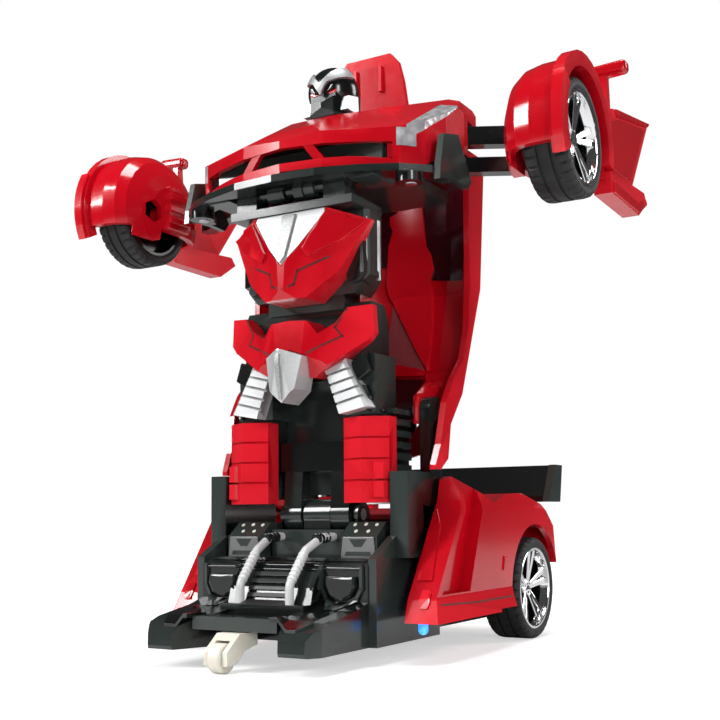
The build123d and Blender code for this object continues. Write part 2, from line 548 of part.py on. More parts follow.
def build_bonnet():
    shell = bonnet_solid(0) - bonnet_solid(WALL)
    shell -= side_prism([(20, 140), (20, 159.5), (46, 159.5), (52, 163), (71, 168.5), (90, 176), (90, 140)],
                        -60, 60)
    shell -= front_prism(both_halves([(0, 164.2), (24, 163.9), (37.6, 162.6), (37.6, 168.2), (24, 168.8),
                                      (0, 169.4)]), 20, 45)
    shell -= front_prism(both_halves([(0, 150), (0, 161.4), (22, 161.0), (36, 159.9), (36, 150)]), 20, 45)
    shell -= wide_block(14, 54.4, 90, 150, 205)
    shell -= paired(block(44, 60, 68, 90, 150, 170.6) + block(44, 60, 75, 90, 170.6, 184))
    strut = front_prism([(8.0, 170), (11.6, 170), (20.2, 159.5), (16.2, 159.5)], 20, 60)
    shell += paired(strut & (bonnet_solid(0.3) - bonnet_solid(WALL)))
    shell -= paired(headlight_zone() & (bonnet_solid(-1) - bonnet_solid(1.2)))
    save("bonnet_shell", shell)
    lamp = headlight_zone(0.15) & (bonnet_solid(0) - bonnet_solid(1.1))
    save_pair("headlight", max(lamp.solids(), key=lambda s: s.volume))

    lip = plan_prism(both_halves([(0, 25.6), (16, 26.8), (30, 31), (42, 37), (50, 44.5), (52.6, 52),
                                  (52.6, 58),
                                  (47.6, 58), (44, 47), (24, 38), (24, 35), (0, 35)]), 156.8, 159.2)
    lip += wide_block(33.5, 41.2, 42.4, 158.4, 171.2) - wide_block(24, 38, 45, 150, 162.6)
    lip += paired(block(24.5, 33.5, 35.5, 49, 156.4, 158.4))
    fin = side_prism([(45, 154.6), (45.6, 159.6), (48.6, 170.5), (59.8, 173.4), (69.6, 159.8), (67, 156.6),
                      (56, 157.2)],
                     50.4, 52.6)
    lip += paired(fin)
    boss = rod_z(42.5, 43.0, 4.4, 154.0, 157.0)
    lip += paired(boss)
    lip &= wide_block(60, 20, 80, 150, 178)
    save("splitter", lip)


def build_shoulders():
    frame = wide_block(37, 46.4, 84, 158.4, 162.2)
    frame += wide_block(9.4, 42.4, 50, 158.4, 163.4)
    knuckle = rod_x(BAR_Y, BAR_Z, 3.9, 4.2, 9.4) + block(4.2, 9.4, BAR_Y, 47, 158.4, 161.4)
    frame += paired(knuckle)
    frame -= rod_x(BAR_Y, BAR_Z, 2.4 + FIT, -12, 12)
    wing = block(31.5, 55, 50, 60, 162.2, 166.5) & bonnet_solid(WALL)
    frame += paired(wing)
    tower = wide_block(7.5, HEAD_Y - 7.5, HEAD_Y + 7.5, 151.0, 162.2)
    frame += tower
    frame -= rod_z(0, HEAD_Y, 3.6 + FIT, 140, 190)
    lug = block(31.5, SHOULDER_X, LOWER_Y - 4, UPPER_Y + 4, *LUG_Z)
    lug += block(31.5, 35.5, LOWER_Y - 4, UPPER_Y + 4, 160, LUG_Z[1])
    for y in (UPPER_Y, LOWER_Y):
        lug += rod_z(SHOULDER_X, y, 3.6, *LUG_Z)
        lug -= rod_z(SHOULDER_X, y, 1.6 + FIT, LUG_Z[0] - 1, LUG_Z[1] + 1)
    frame += paired(lug)
    save("shoulder_frame", frame)


# ---- head -----------------------------------------------------------------------------------------
HEAD_Z = 200.2
HEAD_R = 9.4


def build_head():
    dome = Pos(0, HEAD_Y, HEAD_Z) * Sphere(HEAD_R)
    jaw = plan_prism(both_halves([(0, HEAD_Y - 9.2), (4.6, HEAD_Y - 8.6), (8.2, HEAD_Y - 3),
                                  (8.2, HEAD_Y + 5), (0, HEAD_Y + 7)]),
                     189.4, HEAD_Z)
    jaw &= side_prism([(HEAD_Y - 8.2, 189.4), (HEAD_Y - 9.4, 193), (HEAD_Y - 8.6, HEAD_Z),
                       (HEAD_Y + 8, HEAD_Z),
                       (HEAD_Y + 8, 189.4)], -10, 10)
    visor = front_prism(both_halves([(0, 194.2), (5.6, 196.4), (6.2, 199.2), (0, 197.6)]), 40, HEAD_Y - 7.6)
    helmet = dome + jaw - visor
    helmet += rod_z(0, HEAD_Y, 3.6, 163.0, 190)
    crest_zone = front_prism(both_halves([(0, 196.8), (2.8, 201.2), (10.4, 204.2), (10.4, 209.8),
                                          (5.8, 207.6), (2.6, 203.8),
                                          (0, 201.0)]), 40, HEAD_Y - 1.5)
    skin = Pos(0, HEAD_Y, HEAD_Z) * Sphere(HEAD_R + 0.9)
    crest = crest_zone & skin
    cheek = side_prism([(HEAD_Y - 6.5, 191), (HEAD_Y - 5, 196.6), (HEAD_Y + 1.5, 198), (HEAD_Y + 2, 191)],
                       6.4, 9.6)
    save("helmet", helmet - crest_zone - paired(cheek))
    inner = Pos(0, HEAD_Y, HEAD_Z) * Sphere(HEAD_R - 1.2)
    cheek_solid = side_prism([(HEAD_Y - 6.3, 191.2), (HEAD_Y - 4.9, 196.4), (HEAD_Y + 1.3, 197.8),
                              (HEAD_Y + 1.8, 191.2)], 6.5, 9.4)
    crest_ring = crest - inner
    save("crest", group(crest_ring, cheek_solid, mirrored(cheek_solid)))


# ---- roof shell -----------------------------------------------------------------------------------
# Each level gives height, half-width of the sides, front y, y of the rear corner, y of the back and
# its half-width.
SHELL_LEVELS = [(61.0, 43.6, 66.0, 68.0, 38.0), (77.0, 44.6, 67.2, 70.5, 36.0),
                (88.0, 45.2, 75.5, 79.5, 34.0),
                (127.0, 46.2, 90.0, 96.0, 31.0), (169.0, 46.4, 94.0, 101.0, 30.0),
                (180.0, 46.4, 98.5, 105.0, 27.0)]
SHELL_FRONT = 15.0


def shell_volume(inset, front):
    """Ruled body through the shell's levels, shrunk by inset."""
    sections = []
    for z, side, corner, back, back_half in SHELL_LEVELS:
        outline = both_halves([(side - inset, front), (side - inset, corner), (back_half, back - inset)])
        corners = [Vector(x, y, z) for x, y in outline]
        sections.append(Wire.make_polygon(corners, close=True))
    return Solid.make_loft(sections, ruled=True)


def build_shell():
    shell = shell_volume(0, SHELL_FRONT) - shell_volume(WALL, SHELL_FRONT - 5)
    front_edge = [(0, 50), (57, 50), (57, 63), (60, 70), (63, 84), (68, 92), (76, 100), (80, 112),
                  (81, 130), (81, 190),
                  (0, 190)]
    shell -= side_prism(front_edge, -60, 60)
    shell -= side_prism([(50, 55), (50, 61.4), (61, 61.6), (67.5, 66.2), (90, 66.2), (90, 55)], -60, 60)
    shell -= wide_block(FRAME_OUT + 0.4, 50, 90, 50, 79)
    shell -= paired(block(LUG_X[1], FRAME_OUT + 0.4, 50, 90, 50, 84.5))
    shell -= block(-60, 60, 80, 120, 175.4, 190) - wide_block(27, 80, 120, 170, 190)
    lug = side_prism([(SHELL_Y - 4.6, 77.4), (SHELL_Y - 4.6, 86.6), (70, 92), (84, 92), (74, 80),
                      (70, 77.4)], *LUG_X)
    shell += paired(lug & shell_volume(0, SHELL_FRONT))
    shell -= paired(rod_x(SHELL_Y, SHELL_Z, 1.6 + FIT, LUG_X[0] - 1, LUG_X[1] + 1))
    tab_front = both_halves([(27, 176), (24, 190), (16.2, 199), (14.6, 212), (12.8, 219.6), (9.6, 223.4)])
    tab_side = side_prism([(99.4, 175), (92.6, 199), (91.6, 224), (94.0, 224), (95.2, 199.4), (103, 177),
                           (103, 175)], -30, 30)
    tab = front_prism(tab_front, 85, 105) & tab_side
    for x in (-5.5, 5.5):
        tab += block(x - 0.6, x + 0.6, 90.6, 92.4, 209, 219)
    save("roof_shell", shell + tab)


# ---- arms -----------------------------------------------------------------------------------------
DOME_IN = 73.0
DOME_BOTTOM = 158.0
# Outside and inside of the fender's dome, as (x, radius) about the front wheel's axis.
DOME_OUTSIDE = [(DOME_IN, 0), (DOME_IN, 10.5), (74.4, 15.6), (77.4, 21.0), (81, 23.6), (86, 24.6),
                (94, 24.8), (94, 0)]
DOME_INSIDE = [(DOME_IN + 2.2, 0), (DOME_IN + 2.2, 9.4), (76.6, 14.2), (79, 18.8), (80.4, 20.4),
               (82.6, 21.6), (87, 22.2),
               (95, 22.2), (95, 0)]


def turned(profile):
    """Revolve an (x, radius) profile about the right front wheel's axis."""
    points = [Vector(x, FRONT_Y, FRONT_Z + radius) for x, radius in profile]
    face = Face(Wire.make_polygon(points, close=True))
    return revolve(face, Axis((0, FRONT_Y, FRONT_Z), (1, 0, 0)), 360)


def arm_link(shoulder_y, z0, z1, pin_z0, pin_z1, wrist_pin_r):
    """Right-hand link from the shoulder to the wrist with a moulded pin at each end."""
    ends = [(SHOULDER_X, shoulder_y), (WRIST_X, shoulder_y + LINK_LIFT[1])]
    middle = Pos(ends[0][0], ends[0][1], (z0 + z1) / 2) * Rot(0, 0, ARM_SWEEP)
    bar = middle * Pos(ARM_REACH / 2, 0, 0) * Box(ARM_REACH, 5.0, z1 - z0)
    for x, y in ends:
        bar += rod_z(x, y, 3.4, z0, z1)
    bar += rod_z(*ends[0], 1.6, pin_z0, pin_z1)
    bar += rod_z(*ends[1], wrist_pin_r, pin_z0, pin_z1)
    return bar


def build_arms():
    low, high = LUG_Z
    save_pair("arm_link_upper", arm_link(UPPER_Y, high + GAP, high + 6.9, low + 0.5, high + GAP, 1.6))
    save_pair("arm_link_lower", arm_link(LOWER_Y, low - 5.6, low - GAP, low - GAP, high - 0.5, 1.3))

    wrist = [(WRIST_X, UPPER_Y + LINK_LIFT[1]), (WRIST_X, LOWER_Y + LINK_LIFT[1])]
    dome = turned(DOME_OUTSIDE) - turned(DOME_INSIDE)
    dome &= block(60, 100, 20, 100, DOME_BOTTOM, 200)
    lip = arch(FRONT_Y, FRONT_Z, 21.8, 26.6, -8, 206, 93.2, 96.6)
    lip += arch(FRONT_Y, FRONT_Z, 21.8, 27.6, 150, 206, 94.2, 97.6)
    spindle = rod_x(FRONT_Y, FRONT_Z, 4.0, DOME_IN, FRONT_OUT - TYRE_W - 0.4)
    spindle += rod_x(FRONT_Y, FRONT_Z, 2.0, 80, 90.7)
    lug = block(72.4, WRIST_X, 75, wrist[0][1] + 3, low, high)
    for x, y in wrist:
        lug += rod_z(x, y, 3.4, low, high)
    lug -= rod_z(*wrist[0], 1.6 + FIT, low - 1, high + 1)
    lug -= rod_z(*wrist[1], 1.6 + FIT, low - 1, high + 1)
    hexagon = Pos(66, 52, 164.5) * Rot(0, 90, 0) * RegularPolygon(4.6, 6)
    hex_hole = extrude(hexagon, amount=12, dir=(1, 0, 0))
    link_room = block(DOME_IN - 1, 79, 75, 95, low - 6.2, low)
    tongue = block(72.4, 77.4, 44, 56, DOME_BOTTOM - 4, DOME_BOTTOM + 2) & turned(DOME_OUTSIDE)
    tie = block(90, 94.2, 83.6, 89, 164, 170)
    save_pair("fender", (dome + lip - link_room - hex_hole) + spindle + lug + tongue + tie)

    door = side_prism([(84.6, 154), (113, 154), (117, 163), (141.6, 194.6), (96, 186), (87.8, 180.5),
                       (89, 171)], 91.8, 94.2)
    sill = side_prism([(84.6, 153), (116.8, 152.8), (127.6, 159.8), (124.6, 163), (84.6, 160.4)], 90.6, 96.6)
    stalk = side_prism([(88, 182), (92.6, 183.4), (91.6, 196), (88.6, 196)], 92.0, 94.6)
    mirror_head = Pos(95.4, 90.4, 197.2) * Rot(0, -3, 0) * Box(12.4, 5.2, 4.4)
    mirror_head = fillet(mirror_head.edges(), 1.6)
    door_solid = door + sill + stalk + mirror_head
    door_solid -= tie + arch(FRONT_Y, FRONT_Z, 20, 26.6, -12, 60, 89, 97)
    door_solid -= dome + lip
    save_pair("door", door_solid)

    save_pair("front_tyre", tyre(FRONT_OUT, FRONT_Y, FRONT_Z))
    save_pair("front_rim", rim(FRONT_OUT, FRONT_Y, FRONT_Z, 2.0 + FIT))


os.makedirs("parts", exist_ok=True)
build_drive()
build_tray()
build_rear_body()
build_feet()
build_leg_frames()
build_caster()
build_legs()
build_body_frame()
build_torso()
build_bonnet()
build_shoulders()
build_head()
build_shell()
build_arms()
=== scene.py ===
import json
from math import cos, sin, pi, radians

import bpy
import bmesh
from mathutils import Matrix, Vector
from mathutils.bvhtree import BVHTree


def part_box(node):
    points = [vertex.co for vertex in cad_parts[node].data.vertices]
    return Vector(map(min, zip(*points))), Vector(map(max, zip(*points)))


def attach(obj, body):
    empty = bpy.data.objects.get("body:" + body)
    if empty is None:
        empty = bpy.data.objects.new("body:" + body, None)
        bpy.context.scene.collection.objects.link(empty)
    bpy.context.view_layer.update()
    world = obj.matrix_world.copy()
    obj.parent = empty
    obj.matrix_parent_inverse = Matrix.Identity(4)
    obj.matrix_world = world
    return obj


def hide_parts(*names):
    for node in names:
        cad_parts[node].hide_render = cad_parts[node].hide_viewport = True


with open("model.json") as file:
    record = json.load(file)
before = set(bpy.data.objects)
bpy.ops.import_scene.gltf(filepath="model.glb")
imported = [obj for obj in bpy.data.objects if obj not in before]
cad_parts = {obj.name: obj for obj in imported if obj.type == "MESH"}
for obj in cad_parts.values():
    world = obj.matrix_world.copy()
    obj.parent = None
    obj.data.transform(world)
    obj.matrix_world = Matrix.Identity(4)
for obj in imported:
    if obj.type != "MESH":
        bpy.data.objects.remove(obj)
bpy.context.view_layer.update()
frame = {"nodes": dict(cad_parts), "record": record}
MM = 0.001
SIDES = {"right": 1, "left": -1}

# ---- places taken from the frame ----------------------------------------------------------------


def low(node):
    """Lowest corner of a CAD node, as a vector."""
    return Vector(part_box(node)[0])


def high(node):
    return Vector(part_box(node)[1])


def middle(node):
    return (low(node) + high(node)) / 2


def inside(node, u, v, w):
    """The point at these fractions of a CAD node's box."""
    a, b = low(node), high(node)
    return Vector((a.x + (b.x - a.x) * u, a.y + (b.y - a.y) * v, a.z + (b.z - a.z) * w))


# ---- node helpers for materials -----------------------------------------------------------------


class Shader:
    """A Principled material with short calls for the nodes that feed it."""

    def __init__(self, name, **inputs):
        self.material = bpy.data.materials.new(name)
        self.material.use_nodes = True
        self.tree = self.material.node_tree
        self.base = self.tree.nodes["Principled BSDF"]
        for socket, value in inputs.items():
            self.base.inputs[socket.replace("_", " ")].default_value = value

    def add(self, kind, settings=None, **inputs):
        node = self.tree.nodes.new(kind)
        for name, value in (settings or {}).items():
            setattr(node, name, value)
        for socket, value in inputs.items():
            self.feed(node.inputs[socket.replace("_", " ")], value)
        return node

    def feed(self, socket, value):
        if isinstance(value, bpy.types.NodeSocket):
            self.tree.links.new(value, socket)
        else:
            socket.default_value = value

    def place(self):
        return self.add("ShaderNodeTexCoord").outputs["Object"]

    def noise(self, scale, detail=3.0, roughness=0.5):
        node = self.add("ShaderNodeTexNoise", Vector=self.place(), Scale=scale, Detail=detail,
                        Roughness=roughness)
        return node.outputs["Fac"]

    def ramp(self, factor, stops):
        node = self.add("ShaderNodeValToRGB", Fac=factor)
        elements = node.color_ramp.elements
        while len(elements) < len(stops):
            elements.new(0.5)
        for element, (position, colour) in zip(elements, stops):
            element.position = position
            element.color = (*colour, 1.0) if len(colour) == 3 else colour
        return node.outputs["Color"]

    def spread(self, factor, lowest, highest):
        """Map a 0..1 factor onto a range."""
        node = self.add("ShaderNodeMapRange", Value=factor)
        node.inputs["To Min"].default_value = lowest
        node.inputs["To Max"].default_value = highest
        return node.outputs["Result"]

    def mix(self, factor, first, second):
        node = self.add("ShaderNodeMix", {"data_type": "RGBA"})
        self.feed(node.inputs["Factor"], factor)
        self.feed(node.inputs["A"], first)
        self.feed(node.inputs["B"], second)
        return node.outputs["Result"]

    def edges(self, start, end):
        """0 on flat faces, 1 on sharp outer edges."""
        point = self.add("ShaderNodeNewGeometry").outputs["Pointiness"]
        return self.add("ShaderNodeMapRange", {"clamp": True}, Value=point, From_Min=start,
                        From_Max=end).outputs["Result"]

    def bump(self, height, strength, distance):
        node = self.add("ShaderNodeBump", Height=height, Strength=strength, Distance=distance)
        self.feed(self.base.inputs["Normal"], node.outputs["Normal"])

    def set(self, socket, value):
        self.feed(self.base.inputs[socket], value)
        return self


def moulded_plastic(name, deep, bright, edge, gloss, coat):
    """Glossy injection-moulded plastic: slow colour drift, flow marks, a painted highlight on the sharp edges
    and fine dust.
    """
    shader = Shader(name, Coat_Weight=coat, Coat_Roughness=0.06, IOR=1.5)
    drift = shader.ramp(shader.noise(16.0, 2.0), [(0.3, deep), (0.7, bright)])
    # the edge colour is lighter than the body: painted highlight on the sharp outer edges
    shader.set("Base Color", shader.mix(shader.edges(0.53, 0.62), drift, (*edge, 1.0)))
    dust = shader.noise(420.0, 4.0, 0.65)
    shader.set("Roughness", shader.spread(dust, gloss - 0.04, gloss + 0.06))
    flow = shader.noise(46.0, 2.0)
    shader.bump(flow, 0.05, 0.0008)
    return shader.material


def painted_silver():
    """Silver paint on plastic with metal flakes and a painted highlight on the edges."""
    shader = Shader("silver_paint", Metallic=0.6, Coat_Weight=0.2, Coat_Roughness=0.12)
    flake = shader.noise(2600.0, 2.0)
    body = shader.ramp(flake, [(0.3, (0.26, 0.27, 0.27)), (0.7, (0.50, 0.51, 0.51))])
    # the edges go near white: painted highlight
    shader.set("Base Color", shader.mix(shader.edges(0.55, 0.66), body, (0.80, 0.81, 0.82, 1.0)))
    shader.set("Roughness", shader.spread(shader.noise(90.0), 0.42, 0.56))
    shader.bump(flake, 0.08, 0.0002)
    return shader.material


def plated_chrome():
    """Vacuum-plated plastic: mirror bright, a little uneven."""
    shader = Shader("plated_chrome", Metallic=1.0)
    shader.set("Base Color", shader.ramp(shader.noise(60.0), [(0.3, (0.80, 0.81, 0.83)),
                                                              (0.7, (0.93, 0.93, 0.94))]))
    shader.set("Roughness", shader.spread(shader.noise(200.0), 0.05, 0.14))
    shader.bump(shader.noise(110.0, 2.0), 0.05, 0.0006)
    return shader.material


def tyre_rubber():
    shader = Shader("tyre_rubber", Specular_IOR_Level=0.35)
    shader.set("Base Color", shader.ramp(shader.noise(140.0), [(0.3, (0.010, 0.011, 0.011)),
                                                               (0.75, (0.030, 0.031, 0.032))]))
    shader.set("Roughness", shader.spread(shader.noise(300.0), 0.48, 0.72))
    shader.bump(shader.noise(1500.0, 3.0), 0.25, 0.0002)
    return shader.material


def white_nylon():
    shader = Shader("white_nylon", Subsurface_Weight=0.25, Subsurface_Scale=0.002)
    shader.set("Base Color", shader.ramp(shader.noise(120.0), [(0.3, (0.72, 0.68, 0.58)),
                                                               (0.75, (0.86, 0.83, 0.74))]))
    shader.set("Roughness", shader.spread(shader.noise(400.0), 0.38, 0.52))
    shader.bump(shader.noise(700.0), 0.10, 0.0002)
    return shader.material


def bright_steel():
    shader = Shader("bright_steel", Metallic=1.0)
    shader.set("Base Color", shader.ramp(shader.noise(300.0), [(0.3, (0.42, 0.42, 0.44)),
                                                               (0.75, (0.66, 0.66, 0.68))]))
    shader.set("Roughness", shader.spread(shader.noise(800.0), 0.22, 0.38))
    return shader.material


def lamp_lens():
    """Clear headlight over a silver reflector, with a fine fluted pattern."""
    shader = Shader("lamp_lens", Metallic=0.35, Coat_Weight=1.0, Coat_Roughness=0.03, Roughness=0.22)
    facets = shader.add("ShaderNodeTexVoronoi", Vector=shader.place(), Scale=330.0).outputs["Distance"]
    shader.set("Base Color", shader.ramp(facets, [(0.1, (0.80, 0.80, 0.82)), (0.8, (0.42, 0.43, 0.46))]))
    shader.bump(facets, 0.35, 0.0006)
    return shader.material


def blue_led():
    shader = Shader("blue_led", Roughness=0.15, Emission_Strength=1.6)
    glow = shader.ramp(shader.noise(300.0), [(0.3, (0.01, 0.12, 0.75)), (0.75, (0.08, 0.45, 1.0))])
    shader.set("Base Color", glow)
    shader.set("Emission Color", glow)
    return shader.material


# Dark maroon: partly the tint of the roof's windows, partly painted shade.
def tinted_window():
    shader = Shader("tinted_window", Coat_Weight=0.6, Coat_Roughness=0.05)
    shader.set("Base Color", shader.ramp(shader.noise(30.0), [(0.3, (0.020, 0.002, 0.004)),
                                                              (0.75, (0.075, 0.004, 0.008))]))
    shader.set("Roughness", shader.spread(shader.noise(200.0), 0.10, 0.2))
    return shader.material


def board_green():
    shader = Shader("board_green")
    shader.set("Base Color", shader.ramp(shader.noise(200.0), [(0.3, (0.01, 0.10, 0.04)),
                                                               (0.75, (0.02, 0.20, 0.08))]))
    shader.set("Roughness", shader.spread(shader.noise(500.0), 0.3, 0.5))
    return shader.material


def battery_wrap():
    shader = Shader("battery_wrap", Coat_Weight=0.3)
    shader.set("Base Color", shader.ramp(shader.noise(80.0), [(0.3, (0.03, 0.14, 0.34)),
                                                              (0.75, (0.06, 0.24, 0.52))]))
    shader.set("Roughness", shader.spread(shader.noise(300.0), 0.22, 0.36))
    return shader.material


RED = moulded_plastic("red_plastic", (0.45, 0.001, 0.007), (0.51, 0.002, 0.010), (0.72, 0.012, 0.024), 0.13,
                      0.12)
# Lighter copy of the red: painted light on the roof's raised strips and bulges. The eyes take it too.
LIT_RED = moulded_plastic("thin_red", (0.56, 0.003, 0.010), (0.64, 0.004, 0.014), (0.80, 0.02, 0.03), 0.22,
                          0.3)
# Pale grey-pink copy of the red: painted light on the thin corner walls of the roof.
PALE_LIT_RED = moulded_plastic("frosted_red", (0.22, 0.030, 0.034), (0.30, 0.050, 0.055), (0.5, 0.12, 0.12),
                          0.42, 0.0)
BLACK = moulded_plastic("black_plastic", (0.0025, 0.0035, 0.0032), (0.005, 0.007, 0.0065),
                        (0.03, 0.04, 0.036), 0.17, 0.12)
MATERIALS = {
    "red_plastic": RED,
    "black_plastic": BLACK,
    "silver_paint": painted_silver(),
    "chrome_rim": plated_chrome(),
    "tyre": tyre_rubber(),
    "white_nylon": white_nylon(),
    "steel": bright_steel(),
    "motor_can": bright_steel(),
    "lamp_clear": lamp_lens(),
    "led_blue": blue_led(),
    "board_green": board_green(),
    "battery_wrap": battery_wrap(),
}
TINT_AND_SHADE = tinted_window()
MATT_BLACK = moulded_plastic("matt_black", (0.010, 0.011, 0.011), (0.018, 0.019, 0.019),
                             (0.06, 0.06, 0.06), 0.44, 0.0)
PALE_SILVER = moulded_plastic("pale_silver", (0.56, 0.57, 0.57), (0.72, 0.73, 0.73),
                              (0.9, 0.9, 0.9), 0.3, 0.1)
OWN_FINISH = {"leg_hoses": PALE_SILVER}

# ---- finish on the CAD nodes ---------------------------------------------------------------------
EDGE_RADIUS = {"roof_shell": 0.8, "bonnet_shell": 0.9, "rear_quarter": 0.9, "rear_deck": 0.8, "fender": 0.5,
               "door": 0.5, "caster": 0.3, "crest": 0.25, "drive_gear": 0.0, "motor_pinion": 0.0,
               "leg_hoses": 0.0}
USUAL_EDGE = 0.45
SHARP = radians(32)         # edges sharper than this are rounded
FLAT = radians(2)           # facets closer than this are merged


def soften(node, radius):
    """Merge the flat facets and round the edges, as a moulding has."""
    flat = node.modifiers.new("flat", "DECIMATE")
    flat.decimate_type = "DISSOLVE"
    flat.angle_limit = FLAT
    bevel = node.modifiers.new("edge", "BEVEL")
    bevel.width = radius * MM
    bevel.segments = 2
    bevel.limit_method = "ANGLE"
    bevel.angle_limit = SHARP
    bevel.harden_normals = False
    bevel.use_clamp_overlap = True


def finish_nodes():
    slots = {part["node"]: part["material_slot"] for part in frame["record"]["subparts"]}
    for name, node in frame["nodes"].items():
        for material_slot in node.material_slots:
            material_slot.material = OWN_FINISH.get(name, MATERIALS[slots[name]])
        stem = name.replace("_right", "").replace("_left", "")
        radius = EDGE_RADIUS.get(name, EDGE_RADIUS.get(stem, USUAL_EDGE))
        if radius:
            soften(node, radius)


finish_nodes()

# ---- mesh helpers --------------------------------------------------------------------------------


def add_piece(name, mesh, material, body, edge=0.25, smooth=False):
    """A finished piece that rides on a CAD body, with rounded edges."""
    obj = bpy.data.objects.new(name, mesh)
    bpy.context.scene.collection.objects.link(obj)
    mesh.materials.clear()
    mesh.materials.append(material)
    for polygon in mesh.polygons:
        polygon.use_smooth = smooth
    if edge:
        bevel = obj.modifiers.new("edge", "BEVEL")
        bevel.width = edge * MM
        bevel.segments = 2
        bevel.limit_method = "ANGLE"
        bevel.angle_limit = SHARP
    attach(obj, body)
    return obj


def mesh_from(name, corners, faces):
    """Mesh from points in millimetres, with its faces turned outwards."""
    mesh = bpy.data.meshes.new(name)
    mesh.from_pydata([Vector(c) * MM for c in corners], [], faces)
    work = bmesh.new()
    work.from_mesh(mesh)
    bmesh.ops.recalc_face_normals(work, faces=work.faces)
    work.to_mesh(mesh)
    work.free()
    return mesh


def prism(name, outline, shift):
    """Closed prism: a 3D outline swept along a vector, both in millimetres."""
    count = len(outline)
    corners = [Vector(c) for c in outline]
    corners += [c + Vector(shift) for c in corners]
    faces = [list(range(count)), list(range(count, 2 * count))]
    faces += [[i, (i + 1) % count, count + (i + 1) % count, count + i] for i in range(count)]
    return mesh_from(name, corners, faces)


def joined(name, meshes):
    """Several meshes as one."""
    work = bmesh.new()
    for mesh in meshes:
        work.from_mesh(mesh)
    result = bpy.data.meshes.new(name)
    work.to_mesh(result)
    work.free()
    return result


def revolved(name, profile, centre, steps, wave=None):
    """Ring about the X direction from (x, radius) points, in millimetres; wave trims the radius."""
    corners, faces = [], []
    rows = len(profile)
    for i in range(steps):
        angle = 2 * pi * i / steps
        for x, radius in profile:
            reach = radius - (wave(i, x, radius) if wave else 0)
            corners.append((centre[0] + x, centre[1] + reach * cos(angle), centre[2] + reach * sin(angle)))
    for i in range(steps):
        for j in range(rows):
            a, b = i * rows + j, i * rows + (j + 1) % rows
            c, d = ((i + 1) % steps) * rows + (j + 1) % rows, ((i + 1) % steps) * rows + j
            faces.append((a, b, c, d))
    return mesh_from(name, corners, faces)


def centre_mm(node):
    return middle(node) / MM


# ---- wheels --------------------------------------------------------------------------------------
TREAD_STEPS = 180
LUG_STEPS = 5               # one lug on every fifth step round the tyre
LUG_DEPTH = 0.65
SPOKE_PAIRS = 5
SPOKE_LEAN = 0.16           # half the angle between the two spokes of a pair
SPOKE_THICK = 2.2
STUD_RING = 1.7
NEAR_AXIS = 0.02            # keeps a turned piece closed without touching its axis
WHEELS = {"rear": "rear_axle", "front": "front_wheel"}


def tyre_piece(node, body):
    """Soft tyre with two grooves and shoulder lugs."""
    size = (high(node) - low(node)) / MM
    half, radius = size.x / 2, size.z / 2
    seat = (high(node.replace("tyre", "rim")).z - low(node.replace("tyre", "rim")).z) / MM / 2 + 0.05
    side = [(half - 0.6, seat), (half, seat + 0.9), (half, radius - 1.7), (half - 0.35, radius - 0.8),
            (half - 1.1, radius - 0.2), (half - 2.4, radius)]
    groove = [(2.7, radius), (2.5, radius - 0.6), (1.7, radius - 0.6), (1.5, radius)]
    right = side + groove
    profile = right + [(-x, r) for x, r in reversed(right)]

    def lugs(step, x, r):
        return LUG_DEPTH if step % LUG_STEPS == 0 and abs(x) > half - 2.5 and r > radius - 1.0 else 0.0

    mesh = revolved(node + "_rubber", profile, centre_mm(node), TREAD_STEPS, lugs)
    obj = add_piece(node + "_rubber", mesh, MATERIALS["tyre"], body, edge=0)
    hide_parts(node)


def spoke(centre, face_x, out, angle, inner, outer, width):
    """One tapered spoke that dishes in towards the hub."""
    corners = []
    for reach, half, drop in ((inner, width[0] / 2, 2.0), (outer, width[1] / 2, 0.2)):
        for across in (-half, half):
            y = reach * cos(angle) - across * sin(angle)
            z = reach * sin(angle) + across * cos(angle)
            corners.append((face_x - out * drop, centre.y + y, centre.z + z))
    outline = [corners[0], corners[1], corners[3], corners[2]]
    return prism("spoke", outline, (-out * SPOKE_THICK, 0, 0))


def rim_face(node, out, half, radius, hub_x):
    """Lip, spokes and hub of a rim as one mesh."""
    centre = centre_mm(node)
    face_x = centre.x + out * (half - 0.9)
    lip = [(half, radius), (half, radius - 1.1), (half - 1.6, radius - 1.5), (half - 3.4, radius - 2.2),
           (half - 3.4, radius - 0.2), (half - 1.2, radius - 0.05)]
    parts = [revolved("lip", [(out * x, r) for x, r in lip], centre, 96)]
    for i in range(SPOKE_PAIRS):
        for lean in (-SPOKE_LEAN, SPOKE_LEAN):
            angle = pi / 2 + 2 * pi * i / SPOKE_PAIRS
            parts.append(spoke(centre, face_x, out, angle + lean, 2.6, radius - 1.2, (1.9, 2.3)))
    hub = [(hub_x, NEAR_AXIS), (hub_x, 2.6), (hub_x - out * 0.6, 3.8), (hub_x - out * 3.0, 4.2),
           (hub_x - out * 3.0, NEAR_AXIS)]
    parts.append(revolved("hub", hub, centre, 48))
    return joined(node + "_face", parts)


def rim_core(node, out, half, radius):
    """Black barrel behind the spokes, with a bore for the axle."""
    outer = [(half - 3.6, NEAR_AXIS), (half - 3.6, 3.0), (half - 7.5, 4.5), (half - 7.5, radius - 1.6),
             (half - 3.5, radius - 1.6), (half - 3.5, radius), (-half, radius), (-half, radius - 1.4),
             (half - 9.0, radius - 1.6), (half - 9.0, 3.6), (-(half - 1.0), 3.6), (-(half - 1.0), 1.9),
             (half - 7.0, 1.9), (half - 7.0, NEAR_AXIS)]
    return revolved(node + "_core", [(out * x, r) for x, r in outer], centre_mm(node), 72)


